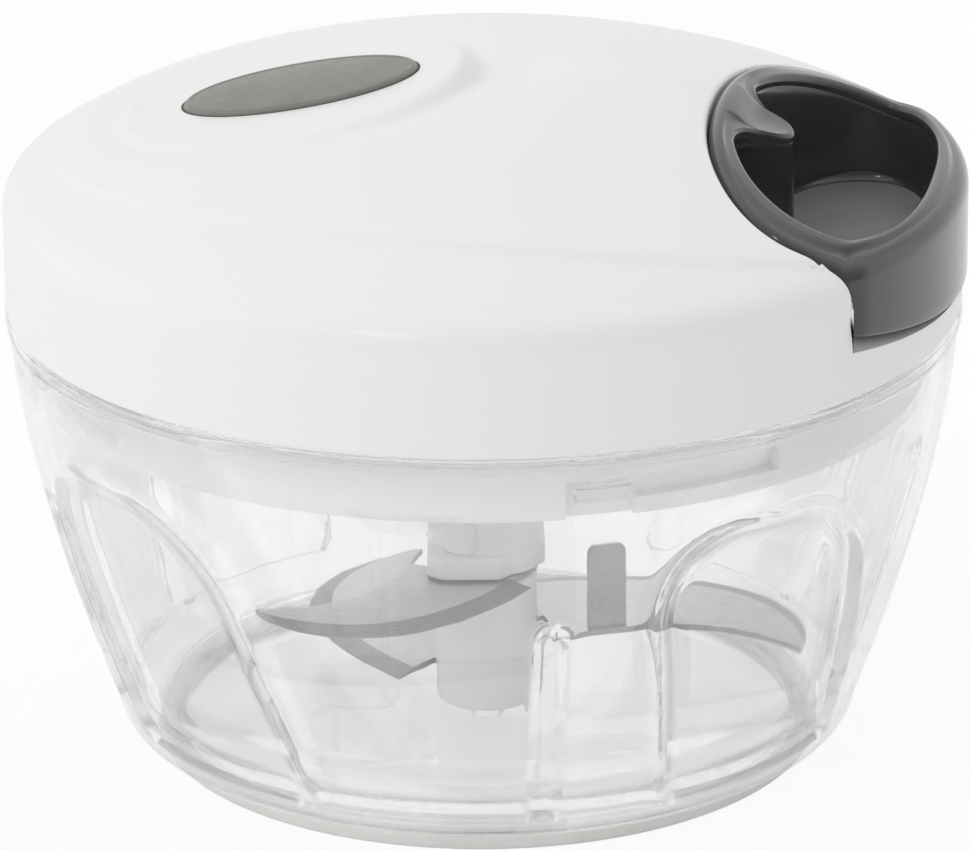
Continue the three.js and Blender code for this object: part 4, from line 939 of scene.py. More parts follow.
def make_collar_block():
    """A small soft-edged block on the collar's side, a superellipse of the fourth power in section."""
    turn = whole_turn(40)
    power = lambda value: np.sign(value) * np.sqrt(np.abs(value))
    across, along = BLOCK_HALF * power(np.cos(turn)), BLOCK_HALF * power(np.sin(turn))
    rows = [np.stack([np.full(turn.shape, reach), across * size, BLOCK_HEIGHT + along * size], -1)
            for reach, size in ((5.0, 0.0), (5.0, 1.0), (7.8, 1.0), (8.2, 0.94), (8.5, 0.8), (8.6, 0.0))]
    return skin_piece("collar_block", turned_about(np.array(rows), BLOCK_TURN))


def cut_edge(share):
    """Cutting edge of a blade: a broad curve that rounds over to the tip, all as shares of its reach."""
    root = np.maximum(0, 0.55 - share)
    nose = np.maximum(0, share - 0.55) / 0.46
    return 0.47 * np.sqrt(np.maximum(0, 1 - nose ** 2)) - 0.5 * root ** 2


def back_edge(share):
    """Back of a blade: hollow towards the root and rounding over to the tip, as shares of its reach."""
    root = np.maximum(0, 0.72 - share)
    nose = np.maximum(0, share - 0.72) / 0.29
    return 0.105 * (1 - nose ** 2) - 1.05 * root ** 2


def make_blade(name, reach, angle, height, tang):
    """A flat sickle with a ground bevel along its cutting edge, and an eye or a tang at its root."""
    t = np.linspace(0, 1, 90)
    cut = -0.03 + 1.035 * np.sqrt(t)
    back = 0.28 + 0.725 * t
    edge = np.stack([cut, cut_edge(cut)], -1) * reach
    rear = np.stack([back, back_edge(back) - 0.012], -1) * reach
    span = np.linalg.norm(edge - rear, axis=1)
    bevel = edge + (rear - edge) * np.minimum(0.45, 3.0 / np.maximum(span, 0.01))[:, None]
    rise = np.minimum(BLADE_THICKNESS, BLADE_EDGE + span * 0.5)
    columns = [(rear, 0 * span), (edge, 0 * span), (edge, np.minimum(BLADE_EDGE, rise)), (bevel, rise), (rear, rise)]
    grid = np.stack([np.concatenate([p, z[:, None]], 1) for p, z in columns], 1)
    blade = skin_piece(name, turned_about(capped(grid), angle, height), crisp_degrees=20)
    parts = [blade, make_tang(angle, height, tang)]
    if tang == "fin":
        parts.append(make_fin(reach, angle, height))
    return joined(name, parts)


def turned_about(grid, degrees, lift=0.0):
    """Points turned about the vertical axis and lifted."""
    cos, sin = math.cos(math.radians(degrees)), math.sin(math.radians(degrees))
    return np.stack([grid[..., 0] * cos - grid[..., 1] * sin, grid[..., 0] * sin + grid[..., 1] * cos,
                     grid[..., 2] + lift], -1)


def make_fin(reach, angle, height):
    """The upright fin folded up from a blade's back: a thin plate with round upper corners and soft edges."""
    share = np.array(FIN_SHARES)
    start, end = np.stack([share, back_edge(share) - 0.012], -1) * reach
    along = (end - start) / np.hypot(*(end - start))
    inward = np.array([-along[1], along[0]])
    length = float(np.hypot(*(end - start)))
    quarter = np.linspace(0, np.pi / 2, 8)
    c = FIN_CORNER
    right = [(length - c + c * math.cos(t), FIN_TOP - c + c * math.sin(t)) for t in quarter]
    left = [(c - c * math.sin(t), FIN_TOP - c + c * math.cos(t)) for t in quarter]
    outline = np.array([(0.0, 0.1), (length / 2, 0.1), (length, 0.1), *right, *left])
    middle = outline.mean(0)
    rows = []
    for depth, inset in ((0.5, 0.1), (0.6, 0.0), (1.2, 0.0), (1.3, 0.1)):
        flat = middle + (outline - middle) * (1 - inset / 3)
        place = start + flat[:, :1] * along + depth * inward
        rows.append(np.concatenate([place, flat[:, 1:]], 1))
    return skin_piece("fin", turned_about(capped(np.array(rows)), angle, height))


def make_tang(angle, height, tang):
    """The blade's root: a flat washer for the clamped blade, or a tongue into the spindle, both a hair thinner."""
    low_z, high_z = height + 0.03, height + BLADE_THICKNESS - 0.03
    if tang == "eye":
        return turned("eye", rounded(rectangle(*EYE_REACH, low_z, high_z), 0.1, 2), 96)
    low = np.array([(x, y, 0.0) for x, y in rectangle(*TANG_REACH, -TANG_HALF, TANG_HALF)])
    grid = capped(np.array([low, low + (0, 0, high_z - low_z)]))
    return skin_piece("tang", turned_about(grid, angle + 36, low_z))


# Inner cover, seal, screws and axle

def slot_depth(angle, z):
    """Depth of the bayonet slots in the skirt: at each lug an entry from below, and a run beside it under a ledge."""
    off = (np.degrees(angle) - LUG_ANGLE + 45) % 90 - 45
    entry = (np.abs(off) < SLOT_HALF) & (z < SLOT_TOP)
    run = (off > -SLOT_HALF) & (off < SLOT_HALF + LUG_TURN) & (z > SLOT_LOW) & (z < SLOT_TOP)
    return SLOT_DEPTH * (entry | run)


def make_inner_cover():
    """The inner cover: tray, bearing, skirt and flange in one turned skin, with the slots pressed into the skirt."""
    edges = [LUG_ANGLE + 90 * k + e + side for k in range(4) for side in (-0.02, 0.02)
             for e in (-SLOT_HALF, SLOT_HALF, SLOT_HALF + LUG_TURN)]
    angle = np.sort(np.radians(np.concatenate([np.arange(0, 360, 0.75) + 0.31, np.array(edges) % 360])))

    def skirt(radius, z):
        return (lambda turn: np.minimum(radius, SKIRT_RADIUS - slot_depth(turn, z)), z)

    sides = [skirt(SKIRT_RADIUS, z) for z in (51.3, 52.2, SLOT_LOW - 0.02, SLOT_LOW + 0.02, 54.6, SLOT_TOP - 0.02,
                                              SLOT_TOP + 0.02, 57.0, 59.0, FLANGE_BOTTOM - 0.4)]
    levels = [(COVER_BORE, TRAY_BOTTOM), (20.0, TRAY_BOTTOM), (SKIRT_INNER - 0.4, TRAY_BOTTOM),
              (SKIRT_INNER, TRAY_BOTTOM - 0.4), (SKIRT_INNER, SKIRT_BOTTOM + 0.4), (SKIRT_INNER + 0.4, SKIRT_BOTTOM),
              skirt(SKIRT_RADIUS - 0.4, SKIRT_BOTTOM), skirt(SKIRT_RADIUS - 0.1, SKIRT_BOTTOM + 0.12), *sides,
              (SKIRT_RADIUS + 0.4, FLANGE_BOTTOM), (COVER_RADIUS - 0.3, FLANGE_BOTTOM),
              (COVER_RADIUS, FLANGE_BOTTOM + 0.3), (COVER_RADIUS, FLANGE_TOP - 0.3), (COVER_RADIUS - 0.3, FLANGE_TOP),
              (SKIRT_INNER, FLANGE_TOP), (SKIRT_INNER, TRAY_TOP + 0.5), (SKIRT_INNER - 0.5, TRAY_TOP),
              (BEARING_RADIUS + 0.5, TRAY_TOP), (BEARING_RADIUS, TRAY_TOP + 0.5), (BEARING_RADIUS, BEARING_TOP - 0.3),
              (BEARING_RADIUS - 0.3, BEARING_TOP), (COVER_BORE + 0.3, BEARING_TOP), (COVER_BORE, BEARING_TOP - 0.3)]
    return skin_piece("cover_tray", polar_grid(levels, angle), round_rows=True)


def make_seal():
    """The seal: a soft ring whose upper face has two lips with a groove between."""
    inner, outer = SKIRT_RADIUS + 0.3, COVER_RADIUS
    profile = [(inner, SEAL_BOTTOM), (outer, SEAL_BOTTOM), (outer, SEAL_TOP), (outer - 0.55, SEAL_TOP),
               (outer - 0.85, SEAL_TOP - 0.4), (inner + 0.75, SEAL_TOP - 0.4), (inner + 0.5, SEAL_TOP),
               (inner, SEAL_TOP)]
    return turned("seal_ring", rounded(profile, 0.2, 4), 320)


def make_screw(degrees):
    """A pan head screw: crowned head with a cross recess below, and a V thread of 0.9 mm pitch on the shank."""
    def face(reach):
        def height(around):
            near = np.minimum(np.abs(np.cos(around)), np.abs(np.sin(around))) * reach
            cross = (1 - smooth(near, 0.28, 0.42)) * (1 - smooth(reach, 1.35, 1.7))
            return SCREW_TOP - 1.1 + 0.45 * (reach / SCREW_HEAD) ** 2 + 0.7 * cross
        return (reach, height)

    def thread(z):
        def reach(around):
            turns = (z / THREAD_PITCH + around / (2 * np.pi)) % 1
            return SCREW_SHANK - 0.3 + 0.6 * np.minimum(turns, 1 - turns)
        return (reach, z)

    levels = [face(r) for r in np.linspace(0, 2.6, 22)]
    levels += [(SCREW_HEAD, SCREW_TOP - 0.45), (SCREW_HEAD, SCREW_TOP - 0.1), (SCREW_HEAD - 0.1, SCREW_TOP),
               (SCREW_SHANK, SCREW_TOP)]
    levels += [thread(z) for z in np.arange(SCREW_TOP + 0.3, SCREW_TIP - 1.3, 0.12)]
    levels += [(0.6, SCREW_TIP - 0.6), (0.0, SCREW_TIP)]
    grid = polar_grid(levels, whole_turn(96), on_circle(SCREW_PLACE, degrees))
    return skin_piece("pan_head_screw", grid, crisp_degrees=40)


def make_axle():
    """The steel axle with chamfered ends and a clip groove near its top."""
    profile = [(0, AXLE_BOTTOM), (AXLE_RADIUS, AXLE_BOTTOM), (AXLE_RADIUS, AXLE_TOP - 2.4),
               (AXLE_RADIUS - 0.4, AXLE_TOP - 2.3), (AXLE_RADIUS - 0.4, AXLE_TOP - 1.7),
               (AXLE_RADIUS, AXLE_TOP - 1.6), (AXLE_RADIUS, AXLE_TOP), (0, AXLE_TOP)]
    return turned("steel_axle", rounded(profile, 0.3, 4), 64, closed=False)


def make_eyelet():
    """The eyelet in the pocket's wall, turned about the cord's line: flange inside, trumpet mouth outside."""
    grid = np.roll(polar_grid(rounded(EYELET_PROFILE, 0.2, 4), whole_turn(64)), 1, -1) + (0, 0, CORD_HEIGHT)
    return skin_piece("eyelet", grid, round_rows=True)


# Clutch and reel

def sawtooth(angle):
    """Radius of the clutch wheel: each tooth slopes from tip to root, then stands steep."""
    share = (angle * RATCHET_TEETH / (2 * np.pi)) % 1
    return RATCHET_TIP + (RATCHET_ROOT - RATCHET_TIP) * np.minimum(share / 0.97, (1 - share) / 0.03)


def make_drive_hub():
    """The drive hub in one skin: dog, journal, flange, clutch wheel and the blind bore for the axle."""
    def dog(angle):
        off = np.degrees(angle + np.pi / 2) % 180 - 90
        return DOG_CORE + (DOG_REACH - DOG_CORE) * (1 - smooth(np.abs(off), DOG_HALF_ANGLE - 1, DOG_HALF_ANGLE))

    levels = [(0.0, DOG_BOTTOM), (lambda a: dog(a) - 0.4, DOG_BOTTOM), (dog, DOG_BOTTOM + 0.4), (dog, HUB_BOTTOM),
              (HUB_RADIUS - 0.5, HUB_BOTTOM), (HUB_RADIUS, HUB_BOTTOM + 0.5), (HUB_RADIUS, WHEEL_BOTTOM - 2),
              (HUB_FLANGE_RADIUS - 0.3, WHEEL_BOTTOM - 2), (HUB_FLANGE_RADIUS, WHEEL_BOTTOM - 1.7),
              (HUB_FLANGE_RADIUS, WHEEL_BOTTOM - 0.3), (HUB_FLANGE_RADIUS - 0.3, WHEEL_BOTTOM),
              (sawtooth, WHEEL_BOTTOM), (sawtooth, WHEEL_TOP - 0.2), (lambda a: sawtooth(a) - 0.2, WHEEL_TOP),
              (BORE + 0.3, WHEEL_TOP), (BORE, WHEEL_TOP - 0.3), (BORE, AXLE_BOTTOM - 0.3), (0.0, AXLE_BOTTOM - 0.3)]
    return skin_piece("clutch_hub", polar_grid(levels, whole_turn(1200)), crisp_degrees=30)


def make_pawl(degrees):
    """A clutch pawl: an eye on its peg and a tapered bar to the wheel, as one rim round the eye's hole."""
    eye = on_circle(PAWL_PLACE, degrees)
    tip = on_circle((RATCHET_TIP + RATCHET_ROOT) / 2, degrees + PAWL_LAG)
    length = float(np.hypot(*(tip - eye)))
    aim = math.atan2(tip[1] - eye[1], tip[0] - eye[0])

    def rim(angle):
        off = np.abs((angle - aim + np.pi) % (2 * np.pi) - np.pi)
        along = np.minimum(length / np.maximum(np.cos(off), 0.1), PAWL_BAR / np.maximum(np.sin(off), 1e-3))
        return np.where(off < 1.2, np.maximum(PAWL_EYE, along), PAWL_EYE)

    near = aim + np.concatenate([-np.geomspace(0.004, 1.0, 60)[::-1], [0.0], np.geomspace(0.004, 1.0, 60)])
    angle = np.concatenate([near, aim + np.linspace(1.0, 2 * np.pi - 1.0, 90)[1:-1]])
    hole = PEG_RADIUS + 0.3
    levels = [(hole + 0.15, PAWL_BOTTOM), (lambda a: rim(a) - 0.15, PAWL_BOTTOM), (rim, PAWL_BOTTOM + 0.15),
              (rim, PAWL_TOP - 0.15), (lambda a: rim(a) - 0.15, PAWL_TOP), (hole + 0.15, PAWL_TOP),
              (hole, PAWL_TOP - 0.15), (hole, PAWL_BOTTOM + 0.15)]
    return skin_piece("pawl", polar_grid(levels, angle, eye), round_rows=True)


def make_reel():
    """The cord reel: flanges, drum, spring well and boss turned in one, with the pawls' two pegs below."""
    low, high = REEL_BOTTOM + REEL_FLANGE, REEL_TOP - REEL_FLANGE
    well = DRUM_RADIUS - DRUM_WALL
    profile = [(BORE, REEL_SEAT), (REEL_BOSS, REEL_SEAT), (REEL_BOSS, REEL_BOTTOM), (REEL_RADIUS, REEL_BOTTOM),
               (REEL_RADIUS, low), (DRUM_RADIUS, low), (DRUM_RADIUS, high), (REEL_RADIUS, high),
               (REEL_RADIUS, REEL_TOP), (well, REEL_TOP), (well, SPRING_FLOOR), (REEL_BOSS, SPRING_FLOOR),
               (REEL_BOSS, REEL_TOP), (BORE, REEL_TOP)]
    parts = [turned("reel_body", rounded(profile, 0.5), 256)]
    peg = rounded(rectangle(0, PEG_RADIUS, PAWL_BOTTOM - 0.3, REEL_BOTTOM + 0.3), 0.3)
    parts += [turned("peg", peg, 48, on_circle(PAWL_PLACE, degrees), closed=False) for degrees in PAWL_ANGLES]
    return joined("reel_with_pegs", parts)


def make_spring():
    """The recoil spring: a flat strip with rounded edges in an even spiral."""
    steps = SPRING_TURNS * 120
    angle = np.linspace(0, 2 * np.pi * SPRING_TURNS, steps + 1)
    inner = SPRING_INNER + (SPRING_OUTER - SPRING_INNER) * np.arange(steps + 1) / steps
    section = rounded(rectangle(0, SPRING_STRIP, 0, SPRING_HEIGHT), 0.2, 4)
    grid = about_axis(inner[:, None] + section[:, 0], angle[:, None], SPRING_FLOOR + 0.3 + section[:, 1])
    return skin_piece("spiral_spring", capped(grid))


def make_spring_plate():
    """The plate over the spring: a thin ring, stiffened by one raised bead."""
    t = np.linspace(0, np.pi, 9)
    bead = [(13.0 + 1.2 * math.cos(a), PLATE_TOP - 0.35 + 0.3 * math.sin(a)) for a in t]
    profile = [(3.1, PLATE_BOTTOM), (DRUM_RADIUS, PLATE_BOTTOM), (DRUM_RADIUS, PLATE_TOP - 0.35), *bead,
               (3.1, PLATE_TOP - 0.35)]
    return turned("spring_plate", rounded(profile, 0.2, 3), 192)


# Cord

def braid(angle, length):
    """Relief of a braid: two sets of four strands that wind opposite ways, the higher one showing."""
    turn = 2 * np.pi * length / BRAID_LAY
    return BRAID_DEPTH * np.maximum(np.cos(4 * angle + turn), np.cos(4 * angle - turn)) - BRAID_DEPTH


def make_winding():
    """The wound cord: two and a half turns of a braided helix on the drum."""
    turns = np.linspace(0, CORD_TURNS, int(CORD_TURNS * 400))
    angle = math.radians(CORD_LEAVES) - 2 * np.pi * turns
    path = about_axis(CORD_CIRCLE, angle, CORD_WOUND_TOP - CORD_PITCH * turns)
    return tube("braided_winding", path, CORD_RADIUS, 32, braid)


def make_lead():
    """The cord from the drum to the eyelet."""
    path = np.linspace(CORD_LEAD_START, CORD_LEAD_END, 130)[4:-4]
    return tube("braided_lead", path, CORD_RADIUS, 32, braid)


def make_pull_cord():
    """The cord's end, from inside the eyelet to the knot. Its rows are dense, because it pays out a long way."""
    x = np.linspace(27.6, 37.2, 420)
    path = np.stack([x, 0 * x, np.full(x.shape, CORD_HEIGHT)], -1)
    return tube("braided_pull_cord", path, CORD_RADIUS, 32, braid)


def make_knot():
    """The knot in the handle's post: the cord drawn tight along a trefoil."""
    t = whole_turn(240)
    path = np.stack([0.9 * np.sin(3 * t), KNOT_SCALE * (np.sin(t) + 2 * np.sin(2 * t)),
                     KNOT_SCALE * (np.cos(t) - 2 * np.cos(2 * t))], -1)
    return tube("trefoil_knot", path + (POST_PLACE, 0.0, CORD_HEIGHT), CORD_RADIUS - 0.05, 24, braid, loop=True)


# Materials

def add_node(tree, kind, inputs=None, **settings):
    """Adds a shader node. inputs gives each socket a value or the socket that feeds it, settings its properties."""
    made = tree.nodes.new("ShaderNode" + kind)
    for name, value in settings.items():
        setattr(made, name, value)
    for socket, value in (inputs or {}).items():
        if isinstance(value, bpy.types.NodeSocket):
            tree.links.new(value, made.inputs[socket])
        else:
            made.inputs[socket].default_value = value
    return made


def new_material(name, **sockets):
    """A material whose one shader has these socket values. Underscores in a name stand for spaces."""
    material = bpy.data.materials.new(name)
    material.use_nodes = True
    tree = material.node_tree
    tree.nodes.clear()
    shader = add_node(tree, "BsdfPrincipled", {k.replace("_", " "): v for k, v in sockets.items()})
    add_node(tree, "OutputMaterial", {"Surface": shader.outputs["BSDF"]})
    return material, tree, shader


def surface_noise(tree, grain_mm, stretch=(1.0, 1.0, 1.0), detail=3.0):
    """Noise whose features are about grain_mm across, in object space, drawn out along an axis by stretch."""
    place = add_node(tree, "TexCoord")
    mapped = add_node(tree, "Mapping", {"Vector": place.outputs["Object"], "Scale": stretch})
    noise = add_node(tree, "TexNoise", {"Vector": mapped.outputs["Vector"],
                                                  "Scale": 1000.0 / grain_mm, "Detail": detail})
    return noise.outputs["Fac"]


def spread(tree, value, source, target=(0.0, 1.0)):
    """A value carried from one range to another and kept inside it."""
    limits = dict(zip(("From Min", "From Max", "To Min", "To Max"), (*source, *target)))
    return add_node(tree, "MapRange", {"Value": value, **limits}).outputs["Result"]


def computed(tree, operation, *values):
    """The result of one Math node."""
    return add_node(tree, "Math", dict(enumerate(values)), operation=operation).outputs["Value"]


def mixed(tree, share, first, second):
    """A blend of two shaders."""
    return add_node(tree, "MixShader", {0: share, 1: first, 2: second}).outputs["Shader"]


def vary_roughness(tree, shader, grain_mm, low, high, stretch=(1.0, 1.0, 1.0)):
    """Lets the roughness wander between two values over patches of grain_mm."""
    tree.links.new(spread(tree, surface_noise(tree, grain_mm, stretch), (0.3, 0.7), (low, high)),
                   shader.inputs["Roughness"])


def add_bump(tree, shader, grain_mm, depth_mm, stretch=(1.0, 1.0, 1.0), strength=1.0):
    """Presses noise of that grain into the surface, depth_mm deep."""
    bump = add_node(tree, "Bump", {"Height": surface_noise(tree, grain_mm, stretch), "Strength": strength,
                                             "Distance": depth_mm * MM})
    tree.links.new(bump.outputs["Normal"], shader.inputs["Normal"])


def vary_colour(tree, shader, grain_mm, first, second, stretch=(1.0, 1.0, 1.0)):
    """Lets the colour wander between two close shades over patches of grain_mm."""
    ramp = add_node(tree, "ValToRGB", {"Fac": surface_noise(tree, grain_mm, stretch)})
    ramp.color_ramp.elements[0].position, ramp.color_ramp.elements[1].position = 0.35, 0.65
    ramp.color_ramp.elements[0].color, ramp.color_ramp.elements[1].color = srgb(first), srgb(second)
    tree.links.new(ramp.outputs["Color"], shader.inputs["Base Color"])


def surfaced(name, colour=None, roughness=None, bump=None, **sockets):
    """A material from its sockets. colour, roughness and bump each hold a grain in mm, limits and a stretch."""
    material, tree, shader = new_material(name, **sockets)
    for change, values in ((vary_colour, colour), (vary_roughness, roughness), (add_bump, bump)):
        if values:
            change(tree, shader, *values)
    return material


def clear_san():
    """Clear SAN, the glassy plastic of kitchen bowls. It bends what is seen through it, and soft light passes."""
    material, tree, shader = new_material("clear_san_moulded", Base_Color=srgb("#fbfcfc"), IOR=1.45,
                                          Transmission_Weight=1.0, Roughness=0.02)
    add_bump(tree, shader, 14.0, 0.03)
    path = add_node(tree, "LightPath")
    soft = computed(tree, "MAXIMUM", path.outputs["Is Shadow Ray"], path.outputs["Is Diffuse Ray"])
    facing = add_node(tree, "LayerWeight", {"Blend": 0.5}).outputs["Facing"]
    passed = computed(tree, "MAXIMUM", soft, spread(tree, facing, CLEAR_FACING, CLEAR_STRAIGHT))
    straight = add_node(tree, "BsdfTransparent", {"Color": srgb("#fdfdfd")})
    tree.links.new(mixed(tree, passed, shader.outputs["BSDF"], straight.outputs["BSDF"]),
                   tree.nodes["Material Output"].inputs["Surface"])
    return material


def ground_stainless():
    """Stainless strip, its satin grind in streaks 0.1 mm apart. Where the surface leans, at the bevels, its colour is
    darker: a painted reflection of darker surroundings.
    """
    material, tree, shader = new_material("stainless_ground", Metallic=1.0)
    vary_roughness(tree, shader, 0.12, 0.26, 0.32, ALONG_X)
    shape = add_node(tree, "NewGeometry")
    parts = add_node(tree, "SeparateXYZ", {"Vector": shape.outputs["True Normal"]})
    # Painted reflection: leaning faces get the darker colour, flat faces the lighter rolled one
    flat = spread(tree, computed(tree, "ABSOLUTE", parts.outputs["Z"]), (0.975, 0.995))
    rolled = add_node(tree, "ValToRGB", {"Fac": surface_noise(tree, 5.0)})
    rolled.color_ramp.elements[0].color, rolled.color_ramp.elements[1].color = srgb("#cfcfcd"), srgb("#d8d8d6")
    shade = add_node(tree, "Mix", {0: flat, 6: srgb("#9b9b99"), 7: rolled.outputs["Color"]},
                     data_type="RGBA")
    tree.links.new(shade.outputs[2], shader.inputs["Base Color"])
    add_bump(tree, shader, 0.1, 0.0006, ALONG_X)
    return material


ALONG_X = (0.04, 1.0, 1.0)
RINGS = (0.1, 0.1, 1.0)

# White ABS of the lid, from a polished tool: bright, half gloss, its gloss a little uneven
WHITE = surfaced("white_abs_moulded", None, (60.0, 0.275, 0.285), Base_Color=srgb("#f4f4f3"), IOR=1.53,
                 Specular_IOR_Level=0.5)
# White polypropylene of the inner cover and the blade column: softer gloss and a little waxy
INNER_WHITE = surfaced("white_polypropylene", (12.0, "#f7f7f6", "#f9f9f8"), (6.0, 0.32, 0.42), (0.5, 0.006),
                       IOR=1.49, Subsurface_Weight=0.08, Subsurface_Scale=0.003)
# Warm grey ABS from a mirror polished tool: dark in itself, lit by sharp reflections
GREY = surfaced("warm_grey_abs_polished", (14.0, "#3d3c39", "#403f3c"), (8.0, 0.14, 0.2), (6.0, 0.006), IOR=1.54,
                Coat_Weight=0.4, Coat_Roughness=0.04)
# The cup's floor in the same ABS, spark eroded to an even matt face; its colour is much lighter than the handle's
# grey, a painted sheen for the soft light it reflects
CUP_FLOOR_PAINTED_SHEEN = surfaced("grey_abs_eroded_painted_sheen", (9.0, "#828184", "#878689"), (1.5, 0.42, 0.5), (0.3, 0.008), IOR=1.53)
# The badge in the same ABS, finely spark eroded
BADGE_GREY = surfaced("warm_grey_abs_satin", (10.0, "#7d7b77", "#838179"), (2.0, 0.34, 0.44), (0.35, 0.01),
                      IOR=1.53)
CLEAR = clear_san()
# Silicone rubber of the foot ring and the seal: milky grey and dull
SILICONE = surfaced("translucent_silicone", (8.0, "#e0dfdc", "#e5e4e1"), (3.0, 0.45, 0.6), (0.8, 0.01), IOR=1.41,
                    Subsurface_Weight=0.25, Subsurface_Scale=0.004)
BLADE_STEEL = ground_stainless()
# Turned and polished steel pins: close rings from the tool, so the streaks run round the pin
PIN_STEEL = surfaced("steel_turned", (2.0, "#b4b5b6", "#c2c3c4"), (0.4, 0.18, 0.3, RINGS), (0.2, 0.004, RINGS),
                     Metallic=1.0)
# Bright zinc plate on screws and the eyelet: greyish, slightly cloudy
ZINC = surfaced("zinc_plate", (1.2, "#aeb0b3", "#c4c5c6"), (0.8, 0.24, 0.42), (0.4, 0.005), Metallic=1.0)
# Natural acetal of the reel, clutch and hub: creamy white and slightly translucent
ACETAL = surfaced("acetal_natural", (6.0, "#e4e3dc", "#eae9e3"), (3.0, 0.34, 0.46), (0.6, 0.006), IOR=1.48,
                  Subsurface_Weight=0.1, Subsurface_Scale=0.002)
# Blued spring strip: dark blue grey, with rolling lines along the strip
SPRING = surfaced("spring_strip_blued", (2.5, "#7c8089", "#9b9fa6", (1.0, 1.0, 0.2)),
                  (0.7, 0.22, 0.36, (1.0, 1.0, 6.0)), (0.3, 0.004, (0.2, 0.2, 3.0)), Metallic=1.0)
# Polyester cord: off white and soft
CORD = surfaced("polyester_braid", (0.7, "#d9d7d0", "#efeeea"), None, (0.45, 0.08), Roughness=0.8,
                Sheen_Weight=0.25, Sheen_Roughness=0.5)
# Painted shade: a dark colour for the unlit gap round the badge
GAP_PAINTED_SHADE = surfaced("gap_painted_shade", (2.0, "#4a4947", "#565552"), (1.0, 0.5, 0.6), Specular_IOR_Level=0.2)


def finish_piece(piece, material, body, slot, *nodes):
    """Gives a piece its material and its body, or bakes it in place when it spans two, and hides the nodes it stands
    for. slot is not used.
    """
    piece.data.materials.clear()
    piece.data.materials.append(material)
    if isinstance(body, str):
        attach(piece, body)
    else:
        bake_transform(piece)
    if nodes:
        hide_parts(*nodes)


# Pieces

bowl_shell, bowl_lugs = make_bowl()
foot_ring = turned("silicone_foot_ring",
                   rounded(rectangle(FOOT_RING_INNER, FOOT_RING_OUTER, 0, FOOT_RING_HEIGHT), 0.6), 320)
pin = turned("steel_pivot_pin", rounded([(0, PIN_BOTTOM), (PIN_RADIUS, PIN_BOTTOM), (PIN_RADIUS, PIN_TOP - 1.1),
                                         (1.1, PIN_TOP), (0, PIN_TOP)], 0.3), 64, closed=False)
lid, badge, badge_painted_shade_ring, handle = make_lid(), make_badge(), make_badge_painted_shade_ring(), make_handle()
for row in (
        (bowl_shell, CLEAR, "bowl", "clear_bowl", "bowl"),
        (bowl_lugs, CLEAR, "bowl", "clear_bowl"),
        (foot_ring, SILICONE, "bowl", "foot_rubber", "non_slip_ring"),
        (pin, PIN_STEEL, "bowl", "pin_steel", "pivot_pin"),
        (lid, WHITE, "lid", "white_plastic", "lid_cover"),
        (badge, BADGE_GREY, "lid", "badge_grey", "badge"),
        # Painted shade: the dark ring in the gap round the badge
        (badge_painted_shade_ring, GAP_PAINTED_SHADE, "lid", "badge_grey"),
        (handle, GREY, "handle", "grey_plastic", "pull_handle"),
        (make_spindle(), INNER_WHITE, "blades", "cover_plastic", "blade_spindle"),
        (make_collar(), INNER_WHITE, "blades", "cover_plastic", "blade_collar"),
        *((make_blade(*blade), BLADE_STEEL, "blades", "blade_steel", node) for node, blade in BLADES),
        (make_inner_cover(), INNER_WHITE, "lid", "cover_plastic", "inner_cover"),
        (make_seal(), SILICONE, "seal", "seal_rubber", "lid_seal"),
        *((make_screw(degrees), ZINC, "lid", "screw_steel", f"lid_screw_{i + 1}")
          for i, degrees in enumerate(SCREW_ANGLES)),
        (make_axle(), PIN_STEEL, "lid", "pin_steel", "reel_axle"),
        (make_eyelet(), ZINC, "lid", "screw_steel", "cord_guide"),
        (make_lead(), CORD, "lid", "cord_fibre", "cord_lead"),
        (make_drive_hub(), ACETAL, "drive", "mechanism_plastic", "drive_hub"),
        (make_reel(), ACETAL, "reel", "mechanism_plastic", "cord_reel"),
        (make_winding(), CORD, "reel", "cord_fibre", "cord_winding"),
        (make_spring(), SPRING, "reel", "spring_steel", "recoil_spring"),
        (make_spring_plate(), ACETAL, "reel", "mechanism_plastic", "spring_cover"),
        *((make_pawl(degrees), ACETAL, "reel", "mechanism_plastic", f"clutch_pawl_{i + 1}")
          for i, degrees in enumerate(PAWL_ANGLES)),
        (make_knot(), CORD, "handle", "cord_fibre", "cord_knot"),
        (make_pull_cord(), CORD, ("lid", "handle"), "cord_fibre", "pull_cord")):
    finish_piece(*row)

# The cup's floor has its own material, lighter grey as a painted sheen
handle.data.materials.append(CUP_FLOOR_PAINTED_SHEEN)
for face in handle.data.polygons:
    face.material_index = int(face.normal.z > 0.9 and abs(face.center.z - HANDLE_FLOOR * MM) < 0.3 * MM)


# Studio

def looked_at(tree, gloss_share):
    """1 for rays from the camera or glass, gloss_share for rays from gloss, 0 for rays that gather soft light."""
    path = add_node(tree, "LightPath")
    first = computed(tree, "MAXIMUM", path.outputs["Is Camera Ray"], path.outputs["Is Transmission Ray"])
    return computed(tree, "MAXIMUM", first, computed(tree, "MULTIPLY", path.outputs["Is Glossy Ray"], gloss_share))


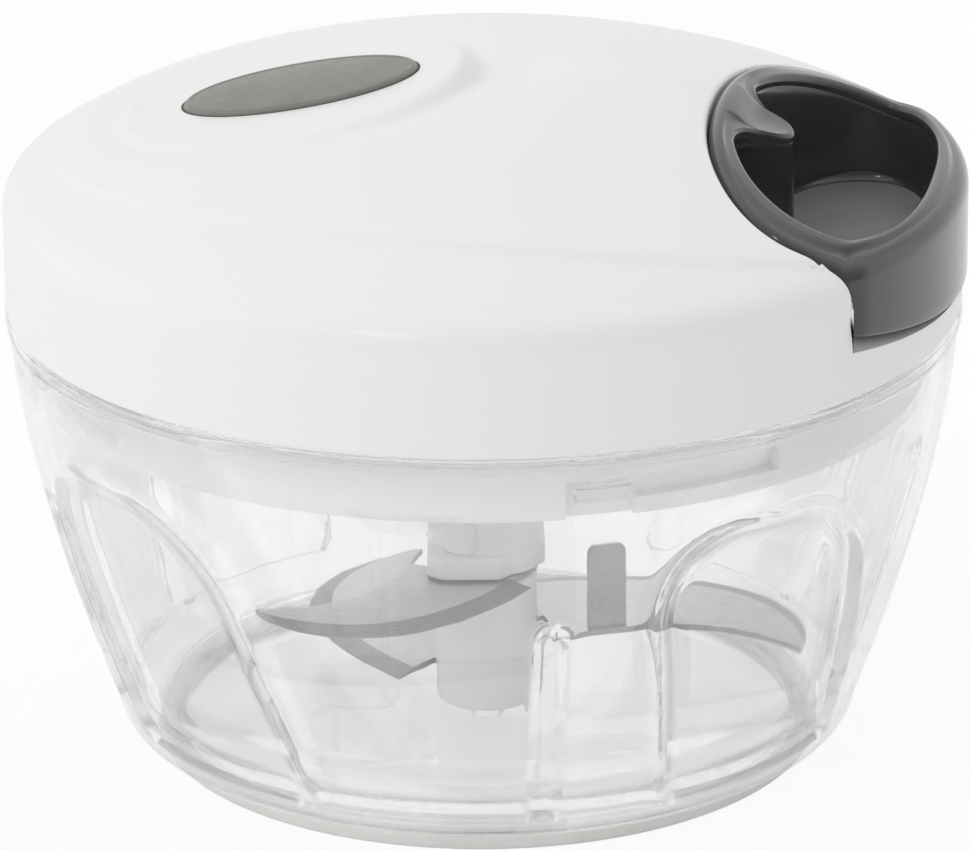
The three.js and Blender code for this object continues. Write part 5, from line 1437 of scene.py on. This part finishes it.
def make_floor():
    """A plain pale floor that rises into a backdrop in one smooth sweep, shown white to the camera and to glass."""
    turn = np.linspace(0, np.pi / 2, 24)
    bend = np.stack([SWEEP_START + SWEEP_RADIUS * np.sin(turn), SWEEP_RADIUS * (1 - np.cos(turn))], -1)
    # Along the floor, then up the backdrop
    line = [(FLOOR_FRONT, 0.0), (FLOOR_MIDDLE, 0.0), *bend, (SWEEP_START + SWEEP_RADIUS, BACKDROP_TOP)]
    points = [(x, y * MM, z * MM) for y, z in line for x in (-FLOOR_HALF * MM, FLOOR_HALF * MM)]
    faces = [[i * 2, i * 2 + 1, i * 2 + 3, i * 2 + 2] for i in range(len(line) - 1)]
    mesh = bpy.data.meshes.new("studio_floor")
    mesh.from_pydata(points, [], faces)
    mesh.polygons.foreach_set("use_smooth", np.ones(len(mesh.polygons), bool))
    material, tree, shader = new_material("white_paper_sweep", Base_Color=srgb("#fafafa"), Roughness=0.9)
    white = add_node(tree, "Emission", {"Color": srgb("#ffffff"), "Strength": 1.0})
    share = computed(tree, "MULTIPLY", looked_at(tree, FLOOR_GLOSS), FLOOR_WHITE)
    tree.links.new(mixed(tree, share, shader.outputs["BSDF"], white.outputs["Emission"]),
                   tree.nodes["Material Output"].inputs["Surface"])
    mesh.materials.append(material)
    floor = add_object("studio_floor", mesh)


def set_world():
    """A white room: brighter on the left as a light, white to camera and glass, grey on the near side to gloss."""
    world = bpy.data.worlds.new("studio_world")
    bpy.context.scene.world = world
    world.use_nodes = True
    tree = world.node_tree
    tree.nodes.clear()
    path = add_node(tree, "LightPath")
    place = add_node(tree, "TexCoord").outputs["Generated"]

    def towards(direction, source, target):
        along = add_node(tree, "VectorMath", {0: place, 1: direction}, operation="DOT_PRODUCT")
        return spread(tree, along.outputs["Value"], source, target)

    def background(colour, strength):
        return add_node(tree, "Background", {"Color": srgb(colour), "Strength": strength}).outputs[0]

    soft = background("#f0f0f1", towards(LIGHT_SIDE, (-1.0, 1.0), SOFT_LEVELS))
    gloss = background("#ffffff", towards(NEAR_SIDE, (-0.1, 0.7), GLOSS_LEVELS))
    lit = mixed(tree, path.outputs["Is Glossy Ray"], soft, gloss)
    seen = mixed(tree, looked_at(tree, 0.0), lit, background("#ffffff", 1.0))
    add_node(tree, "OutputWorld", {"Surface": seen})


def add_lamp(name, place_mm, size_mm, watts, mirrored):
    """A square softbox at a place, turned to face a point on the object. mirrored lets gloss show it."""
    data = bpy.data.lights.new(name, "AREA")
    data.shape = "SQUARE"
    data.size = size_mm * MM
    data.energy = watts
    lamp = add_object(name, data)
    aim(lamp, place_mm, LAMP_TARGET)
    lamp.visible_glossy = mirrored


make_floor()
set_world()
for lamp in LAMPS:
    add_lamp(*lamp)
bpy.context.scene.view_settings.view_transform = "Standard"
